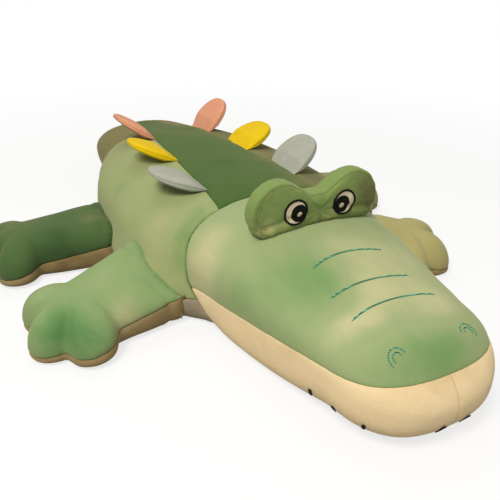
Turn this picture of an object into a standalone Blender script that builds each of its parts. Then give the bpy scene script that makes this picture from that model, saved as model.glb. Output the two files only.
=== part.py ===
"""A giant plush crocodile that lies on its belly, built the way it is sewn.

Each stuffed form is a closed shape. Its fabric panels are cut from that shape along the seams and given
the thickness of the cloth, and the stuffing is the same shape, smaller by that thickness. Metres, +Z up.
The nose points along -Y and the tail along +Y. The origin is on the floor under the middle of the belly.
"""

import math

import bmesh
import bpy
from mathutils import Matrix, Vector
from mathutils.bvhtree import BVHTree

# Cloth, stuffing and the gaps between them
FABRIC = 0.0020
FILL_GAP = 0.0015
SEAM_GAP = 0.0020
CREASE_GAP = 0.0020
CUT_GAP = 0.0008
OVERRUN = 0.020

# The trunk is one line of swelling sections. Its stations run 0 to 1 along the head, 1 to 2 along the body
# and 2 to 3 along the tail.
HEAD_LENGTH = 0.42
BODY_LENGTH = 0.55
TAIL_LENGTH = 0.35
LENGTH = HEAD_LENGTH + BODY_LENGTH + TAIL_LENGTH
TRUNK_HALF_WIDTH = 0.207
TRUNK_HEIGHT = 0.182
TRUNK_SINK = 0.010
WIDTH_SHARES = (
    (0, 0.575), (0.24, 0.592), (0.38, 0.642), (0.6, 0.725), (0.83, 0.81), (1, 0.89), (1.09, 0.985),
    (1.2, 1.03), (1.33, 1.055), (1.47, 1.06), (1.6, 1.045), (1.75, 0.98), (1.89, 0.865), (2, 0.765),
    (2.1, 0.715), (2.3, 0.676), (2.5, 0.58), (2.7, 0.435), (2.85, 0.30), (3, 0.20),
)
TOP_SHARES = (
    (0, 0.54), (0.14, 0.70), (0.31, 0.72), (0.43, 0.742), (0.557, 0.845), (0.72, 0.955), (0.9, 1), (1, 0.99),
    (1.11, 0.978), (1.24, 0.984), (1.69, 0.978), (1.89, 0.955), (2, 0.91), (2.1, 0.845), (2.3, 0.775),
    (2.5, 0.74), (2.7, 0.62), (2.85, 0.47), (3, 0.35),
)
WIDEST_SHARES = (
    (0, 0.29), (0.25, 0.385), (0.7, 0.467), (1, 0.478), (1.5, 0.484), (2, 0.505), (2.3, 0.54), (2.6, 0.44), (3, 0.2)
)
LOWER_FULLNESS = (
    (0, 2.6), (0.25, 2.7), (0.4, 3.7), (0.6, 5), (0.85, 6), (1.05, 6), (1.3, 4.5), (1.6, 3.2), (2, 2.5), (2.3, 2.1), (3, 2)
)
UPPER_FULLNESS = ((0, 2.3), (0.14, 2.5), (0.3, 2.8), (0.43, 2.8), (0.56, 2.45), (0.75, 2.2), (1, 2.1))
# How much wider the weight presses the sides near the floor
PRESS_SHARES = ((0.85, 0), (0.93, 0.05), (1.02, 0.20), (1.15, 0.17), (1.5, 0.07), (1.8, 0.04), (2, 0))
PRESS_HEIGHT = 0.035
PRESS_REACH = 0.045
NOSE_ROUNDING = 0.11
NOSE_FULLNESS = 2.35
TIP_ROUNDING = 0.050
TIP_FULLNESS = 2
TRUNK_SEGMENTS = 16
HEAD_RINGS = 10
BODY_RINGS = 10
TAIL_RINGS = 7
NOSE_CROWDING = 1.5
TAIL_CROWDING = 1.2

# Creases: the planes where the head and the tail are sewn to the body, and how the stuffing draws in there
NECK_TILT = math.radians(31)
NECK_MIDDLE = 0.100
CREASE_REACH = 0.035
CREASE_DEPTH_SHARE = 0.04

# Seams between the panels
JAW_SEAM_HEIGHT = 0.092
JAW_SEAM_FROM_NOSE = 0.034
JAW_SEAM_FALL = math.radians(4.3)
BACK_SEAM_AT_NECK = 0.100
BACK_SEAM_AT_RUMP = 0.055
BACK_SEAM_AT_TIP = 0.010
BELLY_SEAM_HEIGHT = 0.045
TIP_SEAM_HEIGHT = 0.022

# Legs: the plan of a leg is a stem, a palm and three toes
STEM_BACK_HALF_WIDTH = 0.073
STEM_SPREAD_SHARE = 0.08
STEM_BURIED = 0.200
PALM_RADIUS = 0.070
TOE_RADIUS = 0.037
TOE_REACH = 0.105
MIDDLE_TOE_REACH = 0.096
TOE_ANGLES = (-60, 15, 75)
SHOULDER_HEIGHT = 0.088
PAW_HEIGHT = 0.078
TOE_HEIGHT = 0.076
SOLE_SEAM_AT_ROOT = 0.052
SOLE_SEAM_AT_TOES = 0.009
SOLE_SINK = 0.003
LEAST_RISE = 0.004
LEG_FULLNESS = 2.4
SOLE_FULLNESS = 4.0
LEG_SEGMENTS = 24
LEG_RINGS = 5
OUTLINE_SMOOTHING = 1
# name, side, root across, root from the nose, root to palm, half width in front, slope of the root's top, degrees
# that it points forward
LEGS = (
    ("front_left", -1, 0.190, 0.485, 0.155, 0.070, 0.4, 13),
    ("front_right", 1, 0.168, 0.476, 0.112, 0.050, 0, 40),
    ("rear_left", -1, 0.195, 0.715, 0.185, 0.070, 0, -6),
    ("rear_right", 1, 0.165, 0.715, 0.150, 0.070, 0, 12),
)

# Eye mound: two lobes and the saddle between them, standing on the head's crown
MOUND_FROM_NOSE = 0.329
MOUND_HALF_DEPTH = 0.017
MOUND_RISE = 0.0175
LOBE_ACROSS = 0.064
LOBE_RISE = 0.004
LOBE_RADIUS = 0.049
SADDLE_DROP = 0.009
SADDLE_RADIUS = 0.036
MOUND_FULLNESS = 6.0
MOUND_SEGMENTS = 20
MOUND_RINGS = 6
MOUND_SEAM_SHARE = 0.88

# Spikes: leaves sewn into the back seams
SPIKE_HALF_LENGTH = 0.051
SPIKE_HALF_THICKNESS = 0.0100
SPIKE_HEIGHT = 0.086
SPIKE_BURIED = 0.026
SPIKE_ROOT_SHARE = 0.10
SPIKE_SWELL_SHARE = 0.60
SPIKE_GAP = 0.0016
SPIKE_SWEEP = 0.016
SPIKE_FULLNESS = 2.5
SPIKE_SEGMENTS = 12
SPIKE_RINGS = 8
# colour, from the nose, degrees of lean of the left one and of the right one
SPIKES = (("grey", 0.567, 72, 57), ("yellow", 0.732, 68, 69), ("pink", 0.893, 56, 50))

# Eyes, each in four layers of stitching
EYE_ACROSS = 0.043
EYE_RISE = 0.006
EYE_RADIUS = 0.0205
EYE_RING_WIDTH = 0.0032
PUPIL_RADIUS = 0.0135
PUPIL_SHIFT = 0.0046
PUPIL_DROP = 0.0018
GLINT_RADIUS = 0.0042
GLINT_SHIFT = 0.0010
GLINT_DROP = 0.0020
STITCH_LIFT = 0.0006
STITCH_THICKNESS = 0.0008
LAYER_GAP = 0.0003
EYE_SEGMENTS = 20
GLINT_SEGMENTS = 12

# Lines embroidered on the snout and nostrils
THREAD_RADIUS = 0.0013
THREAD_LIFT = 0.0023
# from the nose at the middle, half width, how far the ends come forward
SNOUT_LINES = (("front", 0.141, 0.069, 0.012), ("middle", 0.188, 0.066, 0.009), ("rear", 0.243, 0.059, 0.010))
SNOUT_POINTS = 15
NOSTRIL_ACROSS = 0.057
NOSTRIL_FROM_NOSE = 0.054
NOSTRIL_OUTER = 0.0115
NOSTRIL_INNER = 0.0060
NOSTRIL_SWEEP = math.radians(210)
NOSTRIL_TURN = math.radians(16)
NOSTRIL_POINTS = 7

# Tooth stitches low on the jaw, placed by their share of the way from the chin to the throat
TOOTH_SHARES = (0.10, 0.39, 0.485, 0.575)
TOOTH_HEIGHT = 0.025
TOOTH_LENGTH = 0.014
TOOTH_WIDTH = 0.0045
TOOTH_LIFT = 0.0006

SAGE = (0.33, 0.45, 0.20)
FOREST = (0.11, 0.22, 0.07)
CREAM = (0.80, 0.66, 0.43)
BELLY = (0.36, 0.32, 0.24)
FIBRE = (0.90, 0.90, 0.88)
BLACK = (0.012, 0.010, 0.008)
EYE_WHITE = (0.80, 0.68, 0.52)
TEAL = (0.02, 0.22, 0.15)
GREY = (0.42, 0.44, 0.40)
YELLOW = (0.80, 0.60, 0.03)
PINK = (0.80, 0.37, 0.24)


def clear_scene():
    for obj in list(bpy.data.objects):
        bpy.data.objects.remove(obj)


def material(name, colour, roughness=0.9):
    made = bpy.data.materials.get(name) or bpy.data.materials.new(name)
    made.use_nodes = True
    shader = made.node_tree.nodes["Principled BSDF"]
    shader.inputs["Base Color"].default_value = (*colour, 1)
    shader.inputs["Roughness"].default_value = roughness
    shader.inputs["Metallic"].default_value = 0
    return made


def from_nose(distance):
    """Y of a place this far behind the nose."""
    return distance - LENGTH / 2


def eased(table, at):
    """A smooth curve through a table of (place, value) pairs, flat beyond its ends."""
    if at <= table[0][0]:
        return table[0][1]
    for i in range(len(table) - 1):
        (x0, y0), (x1, y1) = table[i], table[i + 1]
        if at > x1:
            continue
        before, after = table[max(i - 1, 0)], table[min(i + 2, len(table) - 1)]
        slope0 = (y1 - before[1]) / (x1 - before[0])
        slope1 = (after[1] - y0) / (after[0] - x0)
        t, gap = (at - x0) / (x1 - x0), x1 - x0
        return (
            (2 * t**3 - 3 * t**2 + 1) * y0
            + (t**3 - 2 * t**2 + t) * gap * slope0
            + (3 * t**2 - 2 * t**3) * y1
            + (t**3 - t**2) * gap * slope1
        )
    return table[-1][1]


def rounding(along, reach, fullness):
    """From 0 to 1 over the reach, as the end of an oval rises."""
    short = 1 - min(max(along / reach, 0), 1)
    return (1 - short**fullness) ** (1 / fullness)


def signed_power(value, power):
    return math.copysign(abs(value) ** power, value)


def placed_sphere(segments, rings, place):
    """A sphere whose every point goes to place(share from pole to pole, angle round the poles' axis)."""
    bm = bmesh.new()
    bmesh.ops.create_uvsphere(bm, u_segments=segments, v_segments=rings, radius=1)
    for vert in bm.verts:
        share = math.acos(min(max(vert.co.z, -1), 1)) / math.pi
        vert.co = place(share, math.atan2(vert.co.y, vert.co.x))
    bmesh.ops.triangulate(bm, faces=bm.faces[:])
    bmesh.ops.recalc_face_normals(bm, faces=bm.faces[:])
    bm.normal_update()
    return bm


def grown(bm, by):
    """A copy of a form whose faces all move out by one distance, or in where it is negative."""
    copy = bm.copy()
    copy.normal_update()
    moves = [vert.normal * by * min(vert.calc_shell_factor(), 2) for vert in copy.verts]
    for vert, move in zip(copy.verts, moves):
        vert.co += move
    copy.normal_update()
    return copy


def trimmed(bm, planes, filled):
    """A copy of a form that keeps only what lies on the side each plane's normal points to."""
    copy = bm.copy()
    for point, normal in planes:
        cut = bmesh.ops.bisect_plane(
            copy,
            geom=copy.verts[:] + copy.edges[:] + copy.faces[:],
            plane_co=point,
            plane_no=normal,
            clear_inner=True,
        )
        if filled:
            edges = [item for item in cut["geom_cut"] if isinstance(item, bmesh.types.BMEdge)]
            bmesh.ops.contextual_create(copy, geom=edges)
    bmesh.ops.triangulate(copy, faces=copy.faces[:])
    bmesh.ops.recalc_face_normals(copy, faces=copy.faces[:])
    return copy


def new_object(name, bm, finish=None, smooth=True):
    mesh = bpy.data.meshes.new(name)
    bm.to_mesh(mesh)
    if smooth:
        mesh.shade_smooth()
    obj = bpy.data.objects.new(name, mesh)
    bpy.context.scene.collection.objects.link(obj)
    if finish:
        mesh.materials.append(finish)
    return obj


def hinge_at(obj, empty):
    """The piece keeps its place and hangs from its joint's empty."""
    obj.parent = empty
    obj.matrix_parent_inverse = empty.matrix_world.inverted()


def joint_empty(name, place):
    empty = bpy.data.objects.new(name, None)
    bpy.context.scene.collection.objects.link(empty)
    empty.matrix_world = Matrix.Translation(place)
    return empty


def cut_by(obj, cutter):
    boolean = obj.modifiers.new("Sewn on", "BOOLEAN")
    boolean.operation = "DIFFERENCE"
    boolean.solver = "EXACT"
    boolean.object = cutter


def cutter(name, bm, gap):
    obj = new_object(name, grown(bm, gap))
    obj.hide_render = True
    obj.display_type = "WIRE"
    return obj


def panel(name, form, planes, finish):
    """A sewn panel: the form's surface between its seams, with the cloth's thickness inwards."""
    moved = [(point + normal.normalized() * SEAM_GAP / 2, normal) for point, normal in planes]
    obj = new_object(name, trimmed(form, moved, filled=False), finish)
    cloth = obj.modifiers.new("Cloth", "SOLIDIFY")
    cloth.thickness = FABRIC
    cloth.offset = -1
    cloth.use_even_offset = True
    return obj


def stuffing(name, form, planes):
    """The fibre inside: the form less its cloth, cut flat at the planes."""
    inside = grown(form, -FABRIC - FILL_GAP)
    return new_object(name, trimmed(inside, planes, filled=True), material("fibre", FIBRE, 1.0))


def section_point(angle, half_width, top, widest, bottom, fullness_top, fullness_bottom):
    """A point of a cross-section: an oval above its widest height, fuller below it, flat on the floor."""
    rise, fullness = (top - widest, fullness_top) if math.sin(angle) >= 0 else (widest - bottom, fullness_bottom)
    across = half_width * signed_power(math.cos(angle), 2 / fullness)
    return across, max(widest + rise * signed_power(math.sin(angle), 2 / fullness), 0)


def trunk_station(distance):
    if distance < HEAD_LENGTH:
        return distance / HEAD_LENGTH
    if distance < HEAD_LENGTH + BODY_LENGTH:
        return 1 + (distance - HEAD_LENGTH) / BODY_LENGTH
    return 2 + (distance - HEAD_LENGTH - BODY_LENGTH) / TAIL_LENGTH


def trunk_point(distance, angle, on_axis, creases):
    """A point of the trunk's surface, or of its axis, this far behind the nose."""
    station = trunk_station(distance)
    end = rounding(distance, NOSE_ROUNDING, NOSE_FULLNESS)
    end *= rounding(LENGTH - distance, TIP_ROUNDING, TIP_FULLNESS)
    widest = TRUNK_HEIGHT * eased(WIDEST_SHARES, station)
    axis = Vector((0, from_nose(distance), widest))
    if on_axis:
        return axis
    across, up = section_point(
        angle,
        TRUNK_HALF_WIDTH * eased(WIDTH_SHARES, station) * end,
        widest + (TRUNK_HEIGHT * eased(TOP_SHARES, station) - widest) * end,
        widest,
        widest - (widest + TRUNK_SINK) * end,
        eased(UPPER_FULLNESS, station),
        eased(LOWER_FULLNESS, station),
    )
    across *= 1 + eased(PRESS_SHARES, station) * math.exp(-(((up - PRESS_HEIGHT) / PRESS_REACH) ** 2))
    point = Vector((across, axis.y, up))
    for place, normal in creases:
        away = (point - place).dot(normal) / CREASE_REACH
        point += (axis - point) * CREASE_DEPTH_SHARE * math.exp(-(away**2))
    point.z = max(point.z, 0)
    return point


def trunk_form(rounded, start, reach, rings, crowding, creases):
    """A stretch of the trunk. Its far end is flat, and its near end is flat or the rounded nose or tip."""
    first = 0 if rounded else 1 / rings

    def place(share, angle):
        run = min(max((share - first) / (1 - first - 1 / rings), 0), 1)
        on_axis = min(share, 1 - share) < 1 / (2 * rings)
        return trunk_point(start + reach * run**crowding, angle, on_axis, creases)

    return placed_sphere(TRUNK_SEGMENTS, rings, place)


def disc_exit(direction, centre, radius):
    """How far a ray from the origin runs before it leaves a disc, or 0 where it misses."""
    along = direction.dot(centre)
    inside = along**2 - centre.length_squared + radius**2
    return along + math.sqrt(inside) if inside > 0 and along > 0 or centre.length < radius else 0


def smoothed_outline(exit_at, samples, passes):
    """The outline's radii at even angles, each averaged with its neighbours."""
    radii = [exit_at(2 * math.pi * i / samples) for i in range(samples)]
    for _ in range(passes):
        radii = [(radii[i - 1] + 2 * radii[i] + radii[(i + 1) % samples]) / 4 for i in range(samples)]
    return radii


def paw_outline(root_to_palm, front_half_width):
    """Radii round the palm. Angle 0 points from the palm to the toes, so the stem lies at half a turn."""

    def exit_at(angle):
        direction = Vector((math.cos(angle), math.sin(angle)))
        reach = PALM_RADIUS
        for degrees, tip in zip(TOE_ANGLES, (TOE_REACH, MIDDLE_TOE_REACH, TOE_REACH)):
            turn = math.radians(degrees)
            toe = Vector((math.cos(turn), math.sin(turn))) * (tip - TOE_RADIUS)
            reach = max(reach, disc_exit(direction, toe, TOE_RADIUS))
        if direction.x < 0:
            width = front_half_width if direction.y > 0 else STEM_BACK_HALF_WIDTH
            side = width / max(abs(direction.y) + STEM_SPREAD_SHARE * direction.x, 1e-6)
            reach = max(reach, min(side, (root_to_palm + STEM_BURIED) / -direction.x))
        return reach

    return smoothed_outline(exit_at, LEG_SEGMENTS, OUTLINE_SMOOTHING)


def leg_axes(side, across, root, root_to_palm, forward):
    """The place on the floor under the palm, and the leg's directions outwards and forwards."""
    turn = math.radians(forward)
    outwards = Vector((side * math.cos(turn), -math.sin(turn), 0))
    forwards = Vector((side * -math.sin(turn), -math.cos(turn), 0))
    return Vector((side * across, from_nose(root), 0)) + outwards * root_to_palm, outwards, forwards


def sole_fall(root_to_palm):
    return (SOLE_SEAM_AT_ROOT - SOLE_SEAM_AT_TOES) / (root_to_palm + TOE_REACH)


def sole_seam(palm, outwards, root_to_palm):
    """The plane of the seam round the sole, which falls from the root to the toes."""
    root = palm - outwards * root_to_palm + Vector((0, 0, SOLE_SEAM_AT_ROOT))
    return root, Vector((0, 0, 1)) + outwards * sole_fall(root_to_palm)


def leg_form(palm, outwards, forwards, root_to_palm, front_half_width, slope):
    radii = paw_outline(root_to_palm, front_half_width)
    heights = ((-root_to_palm, SHOULDER_HEIGHT), (0, PAW_HEIGHT), (TOE_REACH, TOE_HEIGHT))

    def place(share, angle):
        radius = radii[round(angle / (2 * math.pi) * LEG_SEGMENTS) % LEG_SEGMENTS]
        upper = share <= 0.5
        fullness = LEG_FULLNESS if upper else SOLE_FULLNESS
        flat = radius * abs(math.sin(math.pi * share)) ** (2 / fullness)
        lift = abs(math.cos(math.pi * share)) ** (2 / fullness)
        plan = Vector((math.cos(angle), math.sin(angle))) * flat
        seam = SOLE_SEAM_AT_ROOT - sole_fall(root_to_palm) * max(plan.x + root_to_palm, 0)
        top = eased(heights, plan.x) - slope * plan.y * min(max(-plan.x / root_to_palm, 0), 1)
        up = seam + max(top - seam, LEAST_RISE) * lift
        if not upper:
            up = seam - (seam + SOLE_SINK) * lift
        return palm + outwards * plan.x + forwards * plan.y + Vector((0, 0, max(up, 0)))

    return placed_sphere(LEG_SEGMENTS, LEG_RINGS, place)


def shoulder_point(body, side, root, slope):
    """The top of the seam that sews a leg to the body's side."""
    outside = Vector((side * LENGTH, from_nose(root), SHOULDER_HEIGHT + slope * STEM_BACK_HALF_WIDTH))
    return BVHTree.FromBMesh(body).ray_cast(outside, Vector((-side, 0, 0)))[0]


def mound_height():
    """The height of the mound's middle, a little above the head's crown."""
    return TRUNK_HEIGHT * eased(TOP_SHARES, trunk_station(MOUND_FROM_NOSE)) + MOUND_RISE


def mound_form():
    discs = [(Vector((x, LOBE_RISE)), LOBE_RADIUS) for x in (-LOBE_ACROSS, LOBE_ACROSS)]
    discs.append((Vector((0, -SADDLE_DROP)), SADDLE_RADIUS))
    middle = mound_height()

    def exit_at(angle):
        direction = Vector((math.cos(angle), math.sin(angle)))
        return max(disc_exit(direction, disc, radius) for disc, radius in discs)

    radii = smoothed_outline(exit_at, MOUND_SEGMENTS, 1)

    def place(share, angle):
        radius = radii[round(angle / (2 * math.pi) * MOUND_SEGMENTS) % MOUND_SEGMENTS]
        flat = radius * abs(math.sin(math.pi * share)) ** (2 / MOUND_FULLNESS)
        depth = signed_power(math.cos(math.pi * share), 2 / MOUND_FULLNESS) * MOUND_HALF_DEPTH
        return Vector((
            math.cos(angle) * flat,
            from_nose(MOUND_FROM_NOSE) - depth,
            middle + math.sin(angle) * flat,
        ))

    return placed_sphere(MOUND_SEGMENTS, MOUND_RINGS, place)


def surface_below(form, x, y):
    """The point of a form's upper surface over a place on the floor, and its normal."""
    tree = BVHTree.FromBMesh(form)
    hit, normal, _, _ = tree.ray_cast(Vector((x, y, LENGTH)), Vector((0, 0, -1)))
    return hit, normal


def spike_form(root, lean, side):
    """A leaf that stands on its root and leans outwards. Its lower end is cut off by the body."""
    outwards = Vector((side * math.sin(lean), 0, math.cos(lean)))
    across = Vector((side * math.cos(lean), 0, -math.sin(lean)))
    back = Vector((0, 1, 0))

    def place(share, angle):
        rise = (math.cos(math.pi * share) + 1) / 2
        up = (SPIKE_HEIGHT + SPIKE_BURIED) * rise - SPIKE_BURIED
        wide = abs(math.sin(math.pi * share)) ** (2 / SPIKE_FULLNESS)
        swell = min(max(up, 0) / (SPIKE_HEIGHT * SPIKE_SWELL_SHARE), 1)
        thin = SPIKE_ROOT_SHARE + (1 - SPIKE_ROOT_SHARE) * swell
        return (
            root
            + outwards * up
            + back * (SPIKE_HALF_LENGTH * wide * math.cos(angle) + SPIKE_SWEEP * max(up, 0) / SPIKE_HEIGHT)
            + across * (SPIKE_HALF_THICKNESS * thin * wide * math.sin(angle))
        )

    return placed_sphere(SPIKE_SEGMENTS, SPIKE_RINGS, place)


def disc(name, tree, centre, radius, lift, finish, segments, hole=0.0):
    """A round of satin stitching that lies on the front of the eye mound, or a ring of it with a hole."""
    bm = bmesh.new()
    bmesh.ops.create_circle(bm, cap_ends=True, segments=segments, radius=radius)
    if hole:
        bmesh.ops.inset_region(bm, faces=bm.faces[:], thickness=radius - hole, use_boundary=True)
        inner = min(bm.faces, key=lambda face: face.calc_center_median().length)
        bmesh.ops.delete(bm, geom=[inner], context="FACES_ONLY")
    for vert in bm.verts:
        start = Vector((centre[0] + vert.co.x, -LENGTH, centre[1] + vert.co.y))
        hit = tree.ray_cast(start, Vector((0, 1, 0)))[0]
        vert.co = hit - Vector((0, lift, 0))
    bmesh.ops.triangulate(bm, faces=bm.faces[:])
    bmesh.ops.recalc_face_normals(bm, faces=bm.faces[:])
    if sum(face.normal.y * face.calc_area() for face in bm.faces) > 0:
        bmesh.ops.reverse_faces(bm, faces=bm.faces[:])
    obj = new_object(name, bm, finish)
    layer = obj.modifiers.new("Stitches", "SOLIDIFY")
    layer.thickness = STITCH_THICKNESS
    layer.offset = 1
    return obj


def thread(name, points, radius, finish):
    """A raised line of stitching: a round cord through the points, with closed ends."""
    curve = bpy.data.curves.new(name, "CURVE")
    curve.dimensions = "3D"
    curve.bevel_depth = radius
    curve.bevel_resolution = 1
    curve.use_fill_caps = True
    spline = curve.splines.new("POLY")
    spline.points.add(len(points) - 1)
    for point, place in zip(spline.points, points):
        point.co = (*place, 1)
    obj = bpy.data.objects.new(name, curve)
    bpy.context.scene.collection.objects.link(obj)
    curve.materials.append(finish)
    return obj


def on_head(form, x, y):
    hit, normal = surface_below(form, x, y)
    return hit + normal * THREAD_LIFT


def make_head(neck, head, mound):
    sage, cream, teal = material("sage pile", SAGE), material("cream pile", CREAM), material("teal thread", TEAL)
    neck_point, neck_normal = neck
    head_side = (neck_point - neck_normal * CREASE_GAP / 2, -neck_normal)
    seam_point = Vector((0, from_nose(JAW_SEAM_FROM_NOSE), JAW_SEAM_HEIGHT))
    above = Vector((0, math.sin(JAW_SEAM_FALL), math.cos(JAW_SEAM_FALL)))
    middle = Vector((0, 0, 0))
    right = Vector((1, 0, 0))
    pieces = [
        stuffing("head_stuffing", head, [head_side]),
        panel("head_top_panel", head, [head_side, (seam_point, above)], sage),
        panel("jaw_panel_left", head, [head_side, (seam_point, -above), (middle, -right)], cream),
        panel("jaw_panel_right", head, [head_side, (seam_point, -above), (middle, right)], cream),
    ]
    head_cutter = cutter("head_cutter", head, CUT_GAP)
    mound_middle = from_nose(MOUND_FROM_NOSE)
    seam = MOUND_HALF_DEPTH * MOUND_SEAM_SHARE
    front, back = Vector((0, mound_middle - seam, 0)), Vector((0, mound_middle + seam, 0))
    backwards = Vector((0, 1, 0))
    on_mound = [
        stuffing("eye_mound_stuffing", mound, []),
        panel("eye_mound_front_panel", mound, [(front, -backwards)], sage),
        panel("eye_mound_gusset", mound, [(front, backwards), (back, -backwards)], sage),
        panel("eye_mound_back_panel", mound, [(back, backwards)], sage),
    ]
    for obj in on_mound:
        cut_by(obj, head_cutter)
    pieces += on_mound + make_eyes(mound) + make_snout(head, teal) + make_teeth(head)
    return pieces


def make_eyes(mound):
    black = material("black thread", BLACK, 0.45)
    white = material("eye white thread", EYE_WHITE, 0.5)
    tree = BVHTree.FromBMesh(mound)
    step = STITCH_THICKNESS + LAYER_GAP
    made = []
    for name, side in (("left", -1), ("right", 1)):
        eye = (side * EYE_ACROSS, mound_height() + EYE_RISE)
        pupil = (eye[0] - side * PUPIL_SHIFT, eye[1] - PUPIL_DROP)
        glint = (pupil[0] - side * GLINT_SHIFT, pupil[1] - GLINT_DROP)
        ball = EYE_RADIUS - EYE_RING_WIDTH
        made += [
            disc(f"eye_ring_{name}", tree, eye, EYE_RADIUS, STITCH_LIFT, black, EYE_SEGMENTS, ball),
            disc(f"eye_white_{name}", tree, eye, ball - LAYER_GAP, STITCH_LIFT, white, EYE_SEGMENTS),
            disc(f"pupil_{name}", tree, pupil, PUPIL_RADIUS - LAYER_GAP, STITCH_LIFT + step, black, EYE_SEGMENTS),
            disc(f"eye_glint_{name}", tree, glint, GLINT_RADIUS, STITCH_LIFT + 2 * step, white, GLINT_SEGMENTS),
        ]
    return made


def make_snout(head, teal):
    made = []
    for name, middle, half_width, forward in SNOUT_LINES:
        points = []
        for i in range(SNOUT_POINTS):
            share = 2 * i / (SNOUT_POINTS - 1) - 1
            points.append(on_head(head, share * half_width, from_nose(middle - forward * share**2)))
        made.append(thread(f"snout_line_{name}", points, THREAD_RADIUS, teal))
    for name, side in (("left", -1), ("right", 1)):
        for ring, radius in (("outer", NOSTRIL_OUTER), ("inner", NOSTRIL_INNER)):
            points = []
            for i in range(NOSTRIL_POINTS):
                turn = NOSTRIL_TURN + NOSTRIL_SWEEP * (i / (NOSTRIL_POINTS - 1) - 0.5)
                x = side * (NOSTRIL_ACROSS + radius * math.sin(turn))
                points.append(on_head(head, x, from_nose(NOSTRIL_FROM_NOSE) + radius * math.cos(turn)))
            made.append(thread(f"nostril_{ring}_{name}", points, THREAD_RADIUS, teal))
    return made


def make_teeth(head):
    """Short black stitches that mark the teeth, standing low round the jaw."""
    black = material("black thread", BLACK, 0.45)
    tree = BVHTree.FromBMesh(head)
    made = []
    for name, side in (("left", -1), ("right", 1)):
        for number, share in enumerate(TOOTH_SHARES, 1):
            turn = math.pi / 2 * (1 - share)
            aim = Vector((side * math.cos(turn), -math.sin(turn), 0))
            inside = Vector((0, from_nose(NOSE_ROUNDING + HEAD_LENGTH * share / 2), TOOTH_HEIGHT))
            hit, normal, _, _ = tree.ray_cast(inside, aim)
            along = Vector((0, 0, 1)).cross(normal).normalized()
            up = normal.cross(along)
            bm = bmesh.new()
            bmesh.ops.create_cube(bm, size=1)
            for vert in bm.verts:
                wide = TOOTH_WIDTH * vert.co.x
                vert.co = (
                    hit
                    + normal * (TOOTH_LIFT + STITCH_THICKNESS * (vert.co.z + 0.5))
                    + along * wide
                    + up * TOOTH_LENGTH * vert.co.y
                )
            made.append(new_object(f"tooth_stitch_{name}_{number}", bm, black, smooth=False))
    return made


def back_seam(side):
    """The upright plane of the seam between the back panel and one side: a point on it and its outward normal."""
    neck = Vector((side * BACK_SEAM_AT_NECK, from_nose(HEAD_LENGTH), 0))
    rump = Vector((side * BACK_SEAM_AT_RUMP, from_nose(HEAD_LENGTH + BODY_LENGTH), 0))
    return neck, (rump - neck).cross(Vector((0, 0, side))).normalized()


def tail_seam(side):
    """The seam between the tail's top panel and one side, in line with the back's at the rump."""
    rump = Vector((side * BACK_SEAM_AT_RUMP, from_nose(HEAD_LENGTH + BODY_LENGTH), 0))
    tip = Vector((side * BACK_SEAM_AT_TIP, from_nose(LENGTH), 0))
    return rump, (tip - rump).cross(Vector((0, 0, side))).normalized()


def make_body(neck, tail_joint, body):
    sage, forest, grey = material("sage pile", SAGE), material("forest pile", FOREST), material("belly pile", BELLY)
    ends = [
        (neck[0] + neck[1] * CREASE_GAP / 2, neck[1]),
        (tail_joint[0] - tail_joint[1] * CREASE_GAP / 2, -tail_joint[1]),
    ]
    up = Vector((0, 0, 1))
    low = Vector((0, 0, BELLY_SEAM_HEIGHT))
    seams = {side: back_seam(side) for side in (-1, 1)}
    inner = [(point, -outwards) for point, outwards in seams.values()]
    stuffing("body_stuffing", body, ends)
    panel("back_panel", body, ends + [(low, up)] + inner, forest)
    panel("side_panel_left", body, ends + [(low, up), seams[-1]], sage)
    panel("side_panel_right", body, ends + [(low, up), seams[1]], sage)
    panel("belly_panel", body, ends + [(low, -up)], grey)


def make_tail(tail_joint, tail):
    sage, forest, grey = material("sage pile", SAGE), material("forest pile", FOREST), material("belly pile", BELLY)
    start = (tail_joint[0] + tail_joint[1] * CREASE_GAP / 2, tail_joint[1])
    root = Vector((0, tail_joint[0].y, BELLY_SEAM_HEIGHT))
    tip = Vector((0, from_nose(LENGTH), TIP_SEAM_HEIGHT))
    up = Vector((1, 0, 0)).cross(tip - root).normalized()
    seams = {side: tail_seam(side) for side in (-1, 1)}
    inner = [(point, -outwards) for point, outwards in seams.values()]
    return [
        stuffing("tail_stuffing", tail, [start]),
        panel("tail_top_panel", tail, [start, (root, up)] + inner, forest),
        panel("tail_side_panel_left", tail, [start, (root, up), seams[-1]], sage),
        panel("tail_side_panel_right", tail, [start, (root, up), seams[1]], sage),
        panel("tail_under_panel", tail, [start, (root, -up)], grey),
    ]


def make_leg(name, form, sole, body_cutter):
    sage, cream = material("sage pile", SAGE), material("cream pile", CREAM)
    seam, up = sole
    pieces = [
        stuffing(f"{name}_leg_stuffing", form, []),
        panel(f"{name}_leg_top_panel", form, [(seam, up)], sage),
        panel(f"{name}_leg_sole", form, [(seam, -up)], cream),
    ]
    for obj in pieces:
        cut_by(obj, body_cutter)
    return pieces


def make_spikes(body, spike_cutter):
    paints = {"grey": GREY, "yellow": YELLOW, "pink": PINK}
    for colour, distance, left_lean, right_lean in SPIKES:
        finish = material(f"{colour} felt", paints[colour])
        for name, side, lean in (("left", -1, left_lean), ("right", 1, right_lean)):
            along = (distance - HEAD_LENGTH) / BODY_LENGTH
            across = BACK_SEAM_AT_NECK + (BACK_SEAM_AT_RUMP - BACK_SEAM_AT_NECK) * along
            root, _ = surface_below(body, side * across, from_nose(distance))
            obj = new_object(f"spike_{colour}_{name}", spike_form(root, math.radians(lean), side), finish)
            cut_by(obj, spike_cutter)
            hinge_at(obj, joint_empty(f"spike_{colour}_{name}_joint", root))


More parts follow.
